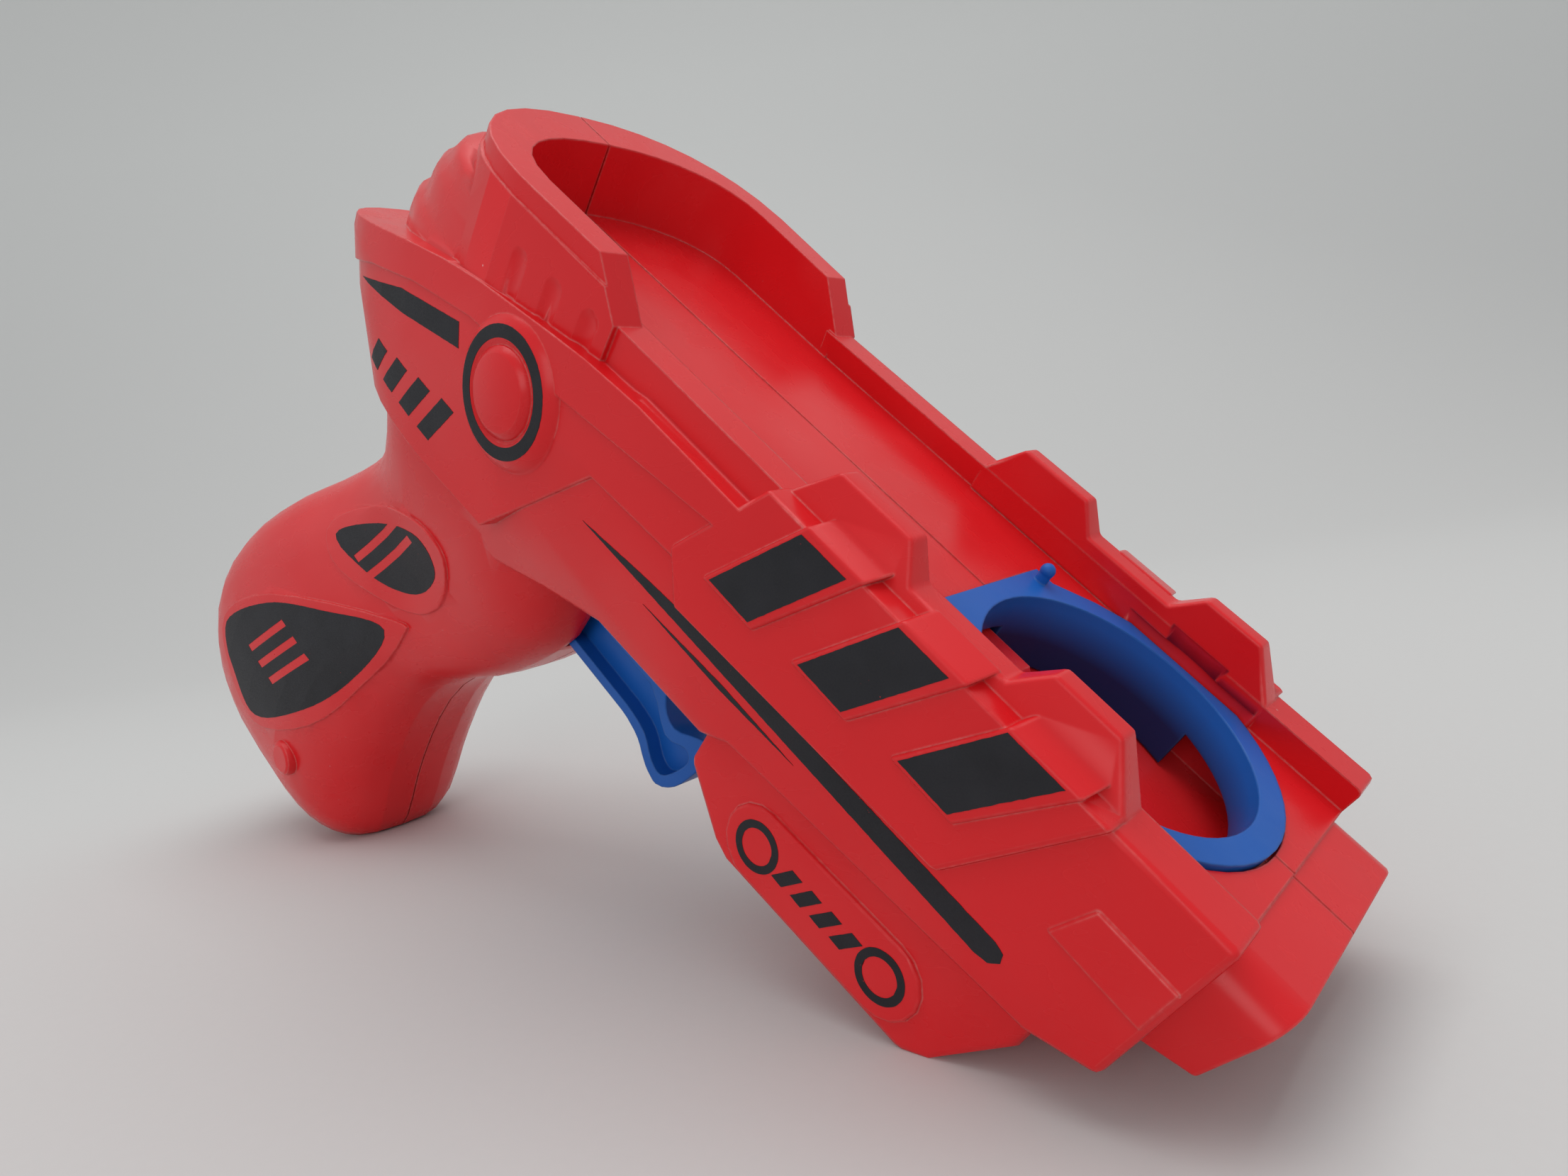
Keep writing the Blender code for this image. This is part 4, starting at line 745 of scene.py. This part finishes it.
@dataclass
class PrintSheet:
    """A thin layer of ink that lies on a moulding, printed square to the launcher's side.

    Lengths are in millimetres and the crease in degrees.
    """

    name: str
    outlines: list[Outline]
    finish: bpy.types.Material
    thick: float = 0.05
    sunk: float = 0.06
    grid: float = 1.0
    ragged: float = 0.05
    waves_per_mm: float = 1.7
    wave_layer: float = 0.5
    edge_step: float = 0.4
    merge: float = 0.01
    crease: float = 40.0
    start: float = 60.0
    bare: list[Outline] = field(default_factory=list)

    def flat(self) -> bmesh.types.BMesh:
        """Lay the print out flat and cut it into a fine grid.

        Returns:
            The flat sheet, in launcher millimetres.
        """
        bm = bmesh.new()
        for outline in self.outlines:
            bm.faces.new([bm.verts.new((x, 0.0, z)) for x, z in self.rough_edge(outline)])
        bmesh.ops.triangulate(bm, faces=bm.faces[:], ngon_method="EAR_CLIP")
        for axis in (0, 2):
            values = [vert.co[axis] for vert in bm.verts]
            normal = Vector((0.0, 0.0, 0.0))
            normal[axis] = 1.0
            first = math.ceil(min(values) / self.grid)
            last = math.floor(max(values) / self.grid)
            for step in range(first, last + 1):
                self.cut(bm, normal * step * self.grid, normal)
        for outline in self.bare:
            self.leave_bare(bm, outline)
        bmesh.ops.remove_doubles(bm, verts=bm.verts, dist=self.merge)
        return bm

    @staticmethod
    def cut(bm: bmesh.types.BMesh, place: Vector, normal: Vector) -> None:
        """Cut a flat sheet along a plane through a place, square to a normal."""
        geometry = bm.verts[:] + bm.edges[:] + bm.faces[:]
        bmesh.ops.bisect_plane(bm, geom=geometry, plane_co=place, plane_no=normal)

    def keep_clear(self, outlines: list[Outline]) -> None:
        """Leave those areas bare that reach into the print.

        Args:
            outlines: The areas.
        """
        ends = [point for outline in self.outlines for point in outline]
        for outline in outlines:
            near = all(
                min(point[axis] for point in ends) < max(point[axis] for point in outline)
                and max(point[axis] for point in ends) > min(point[axis] for point in outline)
                for axis in (0, 1)
            )
            if near:
                self.bare.append(outline)

    def leave_bare(self, bm: bmesh.types.BMesh, outline: Outline) -> None:
        """Cut an area out of the flat sheet.

        Args:
            bm: The sheet.
            outline: The area, convex and counted against the clock from the launcher's left.
        """
        planes = []
        for start, end in zip(outline, outline[1:] + outline[:1]):
            along = Vector((end[0] - start[0], 0.0, end[1] - start[1]))
            outward = Vector((along.z, 0.0, -along.x)).normalized()
            planes.append((Vector((start[0], 0.0, start[1])), outward))
        for place, outward in planes:
            self.cut(bm, place, outward)
        inside = []
        for face in bm.faces:
            centre = face.calc_center_median()
            if all((centre - place).dot(outward) < 0 for place, outward in planes):
                inside.append(face)
        bmesh.ops.delete(bm, geom=inside, context="FACES")

    def rough_edge(self, outline: Outline) -> Outline:
        """Return the outline with the slightly uneven edge of a print.

        Args:
            outline: The clean outline.

        Returns:
            The uneven outline.
        """
        points = []
        for here, ahead in zip(outline, outline[1:] + outline[:1]):
            start, end = Vector(here), Vector(ahead)
            count = max(1, int((end - start).length / self.edge_step))
            for step in range(count):
                place = start.lerp(end, step / count)
                x, y = place.x * self.waves_per_mm, place.y * self.waves_per_mm
                wave = noise.noise_vector((x, y, self.wave_layer))
                points.append((place.x + wave.x * self.ragged, place.y + wave.y * self.ragged))
        return points

    def build(self, side: Side, ground: BVHTree) -> bpy.types.Object:
        """Return the print on one side of the launcher.

        Args:
            side: The side to print.
            ground: The surface that it lies on.

        Returns:
            The print.
        """
        bm = self.flat()
        across = Vector((0.0, float(side.value), 0.0))
        last = 0.0
        for vert in bm.verts:
            origin = LAUNCHER.world(vert.co.x, side.value * self.start, vert.co.z)
            hit = ground.ray_cast(origin, -across)[0]
            last = hit.y if hit is not None else last
            vert.co = Vector((origin.x, last, origin.z)) - across * self.sunk * MM
        top = bmesh.ops.extrude_face_region(bm, geom=bm.faces[:], use_keep_orig=True)["geom"]
        raised = [item for item in top if isinstance(item, bmesh.types.BMVert)]
        bmesh.ops.translate(bm, vec=across * (self.sunk + self.thick) * MM, verts=raised)
        bmesh.ops.recalc_face_normals(bm, faces=bm.faces)
        mesh = bpy.data.meshes.new(f"{self.name}_{side.name.lower()}")
        bm.to_mesh(mesh)
        bm.free()
        mesh.shade_smooth()
        mesh.set_sharp_from_angle(angle=math.radians(self.crease))
        mesh.materials.append(self.finish)
        return add_piece(mesh, Body.LAUNCHER)


@dataclass
class CheekPrints:
    """The black windows on the cheek's pads and the long stripes under the cheek."""

    window_rear: float = -58.4
    window_low: float = -8.5
    window_width: float = 6.45
    window_tall: float = 11.85
    window_lean: float = 0.575
    pitch: float = 13.62
    lift: float = 1.0
    shrink: float = 0.7
    count: int = 3
    stripe: Outline = field(
        default_factory=lambda: [
            (-79.0, -17.8),
            (-68.0, -16.3),
            (-56.0, -15.0),
            (-34.0, -14.0),
            (-14.6, -13.3),
            (-13.4, -13.6),
            (-13.1, -14.6),
            (-13.9, -15.7),
            (-15.4, -16.1),
            (-34.0, -16.6),
            (-50.0, -17.0),
            (-62.0, -17.3),
        ]
    )
    second: Outline = field(
        default_factory=lambda: [(-66.0, -19.3), (-52.0, -18.2), (-40.0, -18.0), (-52.0, -19.0)]
    )

    def sheets(self, finish: bpy.types.Material) -> list[PrintSheet]:
        """Return the prints.

        Args:
            finish: The ink.

        Returns:
            The prints of one side.
        """
        sheets = []
        for index in range(self.count):
            rear = self.window_rear + index * self.pitch
            low = self.window_low + index * self.lift
            tall = self.window_tall - index * self.shrink
            bar = slanted_bar(rear, low, self.window_width, tall, self.window_lean * tall)
            sheets.append(PrintSheet(f"window_print_{index + 1}", [bar], finish))
        sheets.append(PrintSheet("stripe_print", [self.stripe, self.second], finish))
        return sheets


@dataclass
class RearPrints:
    """The black ring on the side boss and the stripes on the rear body."""

    boss: Point = (-97.0, -12.5)
    ring_outer: float = 8.15
    ring_inner: float = 6.5
    ring_ragged: float = 0.03
    wedge: Outline = field(
        default_factory=lambda: [
            (-137.0, -20.4),
            (-124.0, -14.6),
            (-110.2, -11.0),
            (-108.8, -14.0),
            (-123.0, -17.6),
        ]
    )
    bar_rear: float = -131.0
    bar_low: float = -30.0
    bar_width: float = 3.2
    bar_tall: float = 7.6
    bar_taper: float = 0.9
    bar_lean: float = 4.2
    bar_pitch: float = 5.6
    bar_count: int = 4

    def sheets(self, finish: bpy.types.Material) -> list[PrintSheet]:
        """Return the prints.

        Args:
            finish: The ink.

        Returns:
            The prints of one side.
        """
        bars = []
        for index in range(self.bar_count):
            rear = self.bar_rear + index * self.bar_pitch
            tall = self.bar_tall - self.bar_taper * (self.bar_count - 1 - index)
            lean = self.bar_lean * tall / self.bar_tall
            bars.append(slanted_bar(rear, self.bar_low, self.bar_width, tall, lean))
        halves = ring(self.boss, self.ring_outer, self.ring_inner)
        return [
            PrintSheet("boss_ring_print", halves, finish, ragged=self.ring_ragged),
            PrintSheet("rear_wedge_print", [self.wedge], finish),
            PrintSheet("rear_bar_print", bars, finish),
        ]


@dataclass
class BlockPrints:
    """The rings and bars on the block's raised pill.

    The bars' start and pitch are shares of the way from the rear ring to the front one.
    """

    rear: Point = (-39.3, -32.4)
    front: Point = (-20.4, -30.45)
    ring_outer: float = 3.15
    ring_inner: float = 2.2
    bar_width: float = 1.7
    bar_tall: float = 3.0
    bar_lean: float = 1.6
    bar_start: float = 0.26
    bar_pitch: float = 0.16
    bar_count: int = 4
    ragged: float = 0.03
    grid: float = 0.8

    def sheets(self, finish: bpy.types.Material) -> list[PrintSheet]:
        """Return the prints.

        Args:
            finish: The ink.

        Returns:
            The prints of one side.
        """
        shapes = []
        for centre in (self.rear, self.front):
            shapes.extend(ring(centre, self.ring_outer, self.ring_inner))
        for index in range(self.bar_count):
            share = self.bar_start + self.bar_pitch * index
            x = self.rear[0] + (self.front[0] - self.rear[0]) * share
            z = self.rear[1] + (self.front[1] - self.rear[1]) * share
            low = z - self.bar_tall / 2
            rear = x - (self.bar_width + self.bar_lean) / 2
            shapes.append(slanted_bar(rear, low, self.bar_width, self.bar_tall, self.bar_lean))
        return [PrintSheet("pill_print", shapes, finish, ragged=self.ragged, grid=self.grid)]


@dataclass
class GripPrints:
    """The black drop and the black shield on the grip, each crossed by plain bare stripes."""

    drop: Outline = field(
        default_factory=lambda: [
            (-138.0, -70.6),
            (-126.5, -58.6),
            (-114.5, -51.2),
            (-108.6, -53.6),
            (-112.5, -61.8),
            (-124.0, -68.4),
        ]
    )
    shield: Outline = field(
        default_factory=lambda: [
            (-117.6, -74.6),
            (-121.4, -90.4),
            (-129.2, -105.6),
            (-143.0, -121.4),
            (-154.0, -119.4),
            (-161.0, -112.6),
            (-149.0, -96.4),
            (-133.0, -84.0),
        ]
    )
    drop_stripe: Point = (-131.0, -69.5)
    drop_stripe_tall: float = 16.0
    drop_stripe_count: int = 2
    shield_stripe: Point = (-150.5, -109.0)
    shield_stripe_tall: float = 14.0
    shield_stripe_count: int = 3
    stripe_width: float = 1.8
    stripe_pitch: float = 4.6
    stripe_lean: float = 0.55
    grid: float = 1.2

    def stripes(self, start: Point, tall: float, count: int) -> list[Outline]:
        """Return bare leaning stripes.

        Args:
            start: The rear lower corner of the first stripe.
            tall: The height of the stripes.
            count: The number of stripes.

        Returns:
            The stripes' outlines.
        """
        rears = [start[0] + index * self.stripe_pitch for index in range(count)]
        lean = self.stripe_lean * tall
        return [slanted_bar(x, start[1], self.stripe_width, tall, lean) for x in rears]

    def sheets(self, finish: bpy.types.Material) -> list[PrintSheet]:
        """Return the prints.

        Args:
            finish: The ink.

        Returns:
            The prints of one side.
        """
        drop = PrintSheet("drop_print", [curve_through(self.drop)], finish, grid=self.grid)
        drop.bare = self.stripes(
            self.drop_stripe, self.drop_stripe_tall, self.drop_stripe_count
        )
        shield = PrintSheet("shield_print", [curve_through(self.shield)], finish, grid=self.grid)
        shield.bare = self.stripes(
            self.shield_stripe, self.shield_stripe_tall, self.shield_stripe_count
        )
        return [drop, shield]


@dataclass
class ScrewWells:
    """The wells of the screws in the left shell, where no ink lies."""

    count: int
    radius: float = 3.1
    steps: int = 14

    def outlines(self) -> list[Outline]:
        """Find the wells from the screws' places.

        Returns:
            The wells' outlines.
        """
        outlines = []
        for index in range(self.count):
            low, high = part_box(f"screw_{index + 1}")
            centre = LAUNCHER.flat((low + high) / 2)
            outlines.append(circle(centre, self.radius, 0.0, 360.0, self.steps)[:-1])
        return outlines


@dataclass
class Mouldings:
    """The shells, tube, trigger and inner parts, each in its own finish."""

    red: bpy.types.Material
    blue: bpy.types.Material
    shaded_bore: bpy.types.Material
    white: bpy.types.Material
    steel: bpy.types.Material
    screw_count: int = 10
    spring_crease: float = 60.0

    def build(self) -> dict[str, bpy.types.Object]:
        """Dress the nodes and give each spring a mesh of its own.

        Returns:
            The dressed pieces by their node's name.
        """
        plan = [
            Skin("right_shell", Body.LAUNCHER, "red_plastic", self.red),
            Skin("left_shell", Body.LAUNCHER, "red_plastic", self.red),
            Skin("disc_tube", Body.LAUNCHER, "blue_plastic", self.shaded_bore),
            Skin("trigger", Body.TRIGGER, "blue_plastic", self.blue),
            Skin("striker", Body.STRIKER, "red_plastic", self.red),
            Skin("pawl", Body.PAWL, "white_plastic", self.white),
            Skin("pawl_pin", Body.TRIGGER, "steel", self.steel),
        ]
        for spring, body in (
            ("striker_spring", Body.LAUNCHER),
            ("trigger_spring", Body.LAUNCHER),
            ("pawl_spring", Body.TRIGGER),
        ):
            plan.append(Skin(spring, body, "steel", self.steel, crease=self.spring_crease))
        for index in range(self.screw_count):
            plan.append(Skin(f"screw_{index + 1}", Body.LAUNCHER, "steel", self.steel))
        pieces = {skin.node: skin.build() for skin in plan}
        compress(pieces["trigger_spring"])
        compress(pieces["striker_spring"])
        compress(pieces["pawl_spring"])
        return pieces


@dataclass(frozen=True)
class Softbox:
    """A soft square lamp that faces the launcher, in metres and watts."""

    name: str
    place: Triple
    size: float
    power: float
    target: Triple = (0.0, 0.0, 0.06)

    def build(self) -> None:
        """Hang the lamp in the studio."""
        light = bpy.data.lights.new(self.name, "AREA")
        light.size = self.size
        light.energy = self.power
        obj = bpy.data.objects.new(self.name, light)
        place = Vector(self.place)
        obj.location = place
        obj.rotation_euler = (Vector(self.target) - place).to_track_quat("-Z", "Y").to_euler()
        bpy.context.scene.collection.objects.link(obj)


SOFTBOXES = (
    Softbox("top_softbox", place=(0.02, 0.0, 0.95), size=0.9, power=4.7),
    Softbox("front_softbox", place=(0.75, -1.5, 0.6), size=0.9, power=5.2),
    Softbox("back_softbox", place=(0.05, 0.7, 0.75), size=0.7, power=0.3),
)


@dataclass
class Studio:
    """A pale floor that sweeps up into a backdrop, soft lamps and the camera.

    The camera's place is in launcher millimetres, the floor's sizes in metres.
    """

    camera_place: Triple = (-10.1, -97.6, 49.5)
    camera_view: Triple = (-0.4094, 0.7439, -0.5281)
    camera_up: Triple = (-0.6606, 0.1575, 0.7340)
    lens: float = 23.443
    sensor: float = 36.0
    clip_start: float = 0.01
    floor_near: float = -1.5
    floor_reach: float = 0.35
    sweep_radius: float = 0.9
    sweep_steps: int = 32
    wall_height: float = 2.2
    half_width: float = 2.4
    pale: Colour = (0.58, 0.575, 0.565)
    # Painted light: a lighter colour for the upper backdrop, standing in for light that the lamps
    # give the wall only slantwise.
    backdrop_painted_light: Colour = (0.67, 0.675, 0.66)
    painted_light_height: float = 0.6
    floor_grain: float = 1.6
    floor_band: Band = (0.3, 0.7)
    floor_fleck: float = 0.05
    floor_rough: float = 0.75
    floor_specular: float = 0.15
    room_colour: Colour = (0.96, 0.98, 1.0)
    room_strength: float = 0.62

    def floor_finish(self) -> bpy.types.Material:
        """Make the floor's material, pale in front and painted lighter up the backdrop, as painted
        light where the lamps reach the wall only slantwise.

        Returns:
            The finished material.
        """
        graph = Graph(bpy.data.materials.new("studio_floor"))
        geometry = graph.add("ShaderNodeNewGeometry")
        parts = graph.add("ShaderNodeSeparateXYZ")
        graph.link(geometry.outputs["Position"], parts.inputs["Vector"])
        # Painted light: the backdrop is written lighter up the wall than the floor, making up for
        # the slanting light there; random flecks are added on top.
        painted_light_rise = graph.ramp(parts.outputs["Z"], 0.0, self.painted_light_height)
        flecks = graph.noise(self.floor_grain)
        grain = graph.ramp(flecks, *self.floor_band, 0.0, self.floor_fleck)
        colour = graph.mix(graph.math("ADD", painted_light_rise, grain), self.pale, self.backdrop_painted_light)
        graph.set(
            Base_Color=colour,
            Roughness=self.floor_rough,
            Specular_IOR_Level=self.floor_specular,
        )
        return graph.material

    def floor_profile(self) -> Outline:
        """Trace the floor and its backdrop from the side.

        Returns:
            Distances back from the launcher, each with its height.
        """
        profile = [(self.floor_near, 0.0), (self.floor_reach, 0.0)]
        for step in range(1, self.sweep_steps + 1):
            angle = math.radians(90 * step / self.sweep_steps)
            along = self.floor_reach + self.sweep_radius * math.sin(angle)
            profile.append((along, self.sweep_radius * (1 - math.cos(angle))))
        profile.append((profile[-1][0], self.wall_height))
        return profile

    def floor(self) -> None:
        """Lay the floor with its backdrop, square to the camera's view."""
        material = self.floor_finish()
        view = LAUNCHER.turn(*self.camera_view)
        back = Vector((view.x, view.y, 0.0)).normalized()
        aside = Vector((-back.y, back.x, 0.0))
        bm = bmesh.new()
        rows = []
        for along, height in self.floor_profile():
            middle = back * along + Vector((0.0, 0.0, height))
            ends = (middle + aside * self.half_width * sign for sign in (-1, 1))
            rows.append([bm.verts.new(end) for end in ends])
        for near, far in zip(rows, rows[1:]):
            bm.faces.new((near[0], far[0], far[1], near[1]))
        mesh = bpy.data.meshes.new("studio_floor")
        bmesh.ops.recalc_face_normals(bm, faces=bm.faces)
        bm.to_mesh(mesh)
        bm.free()
        mesh.shade_smooth()
        mesh.materials.append(material)
        obj = bpy.data.objects.new("studio_floor", mesh)
        bpy.context.scene.collection.objects.link(obj)

    def camera(self) -> None:
        """Set the camera where the launcher is seen from its front right, from close by."""
        view = LAUNCHER.turn(*self.camera_view)
        up = LAUNCHER.turn(*self.camera_up)
        right = view.cross(up).normalized()
        up = right.cross(view).normalized()
        data = bpy.data.cameras.new("camera")
        data.sensor_width = self.sensor
        data.lens = self.lens
        data.clip_start = self.clip_start
        obj = bpy.data.objects.new("camera", data)
        turn = Matrix((right, up, -view)).transposed()
        place = Matrix.Translation(LAUNCHER.world(*self.camera_place))
        obj.matrix_world = place @ turn.to_4x4()
        bpy.context.scene.collection.objects.link(obj)
        bpy.context.scene.camera = obj

    def world(self) -> None:
        """Set the even light of the room."""
        world = bpy.data.worlds.new("studio")
        world.use_nodes = True
        background = world.node_tree.nodes["Background"]
        background.inputs["Color"].default_value = (*self.room_colour, 1.0)
        background.inputs["Strength"].default_value = self.room_strength
        bpy.context.scene.world = world

    def build(self) -> None:
        """Build the studio."""
        self.floor()
        for softbox in SOFTBOXES:
            softbox.build()
        self.camera()
        self.world()
        bpy.context.scene.view_settings.view_transform = "Standard"


def main() -> None:
    """Dress the launcher and build the studio."""
    logging.basicConfig(level=logging.INFO, format="%(name)s: %(message)s")
    noise.seed_set(PRINT_EDGE_SEED)
    ink = INK.build()
    finishes = [finish.build() for finish in (RED, BLUE, SHADED_BORE_BLUE, WHITE, STEEL)]
    pieces = Mouldings(*finishes).build()
    for side, shell in ((Side.RIGHT, "right_shell"), (Side.LEFT, "left_shell")):
        ground = BVHTree.FromObject(pieces[shell], bpy.context.evaluated_depsgraph_get())
        wells = ScrewWells(Mouldings.screw_count).outlines() if side is Side.LEFT else []
        for group in (CheekPrints(), RearPrints(), BlockPrints(), GripPrints()):
            for sheet in group.sheets(ink):
                sheet.keep_clear(wells)
                sheet.build(side, ground)
    Studio().build()


if __name__ == "__main__":
    main()
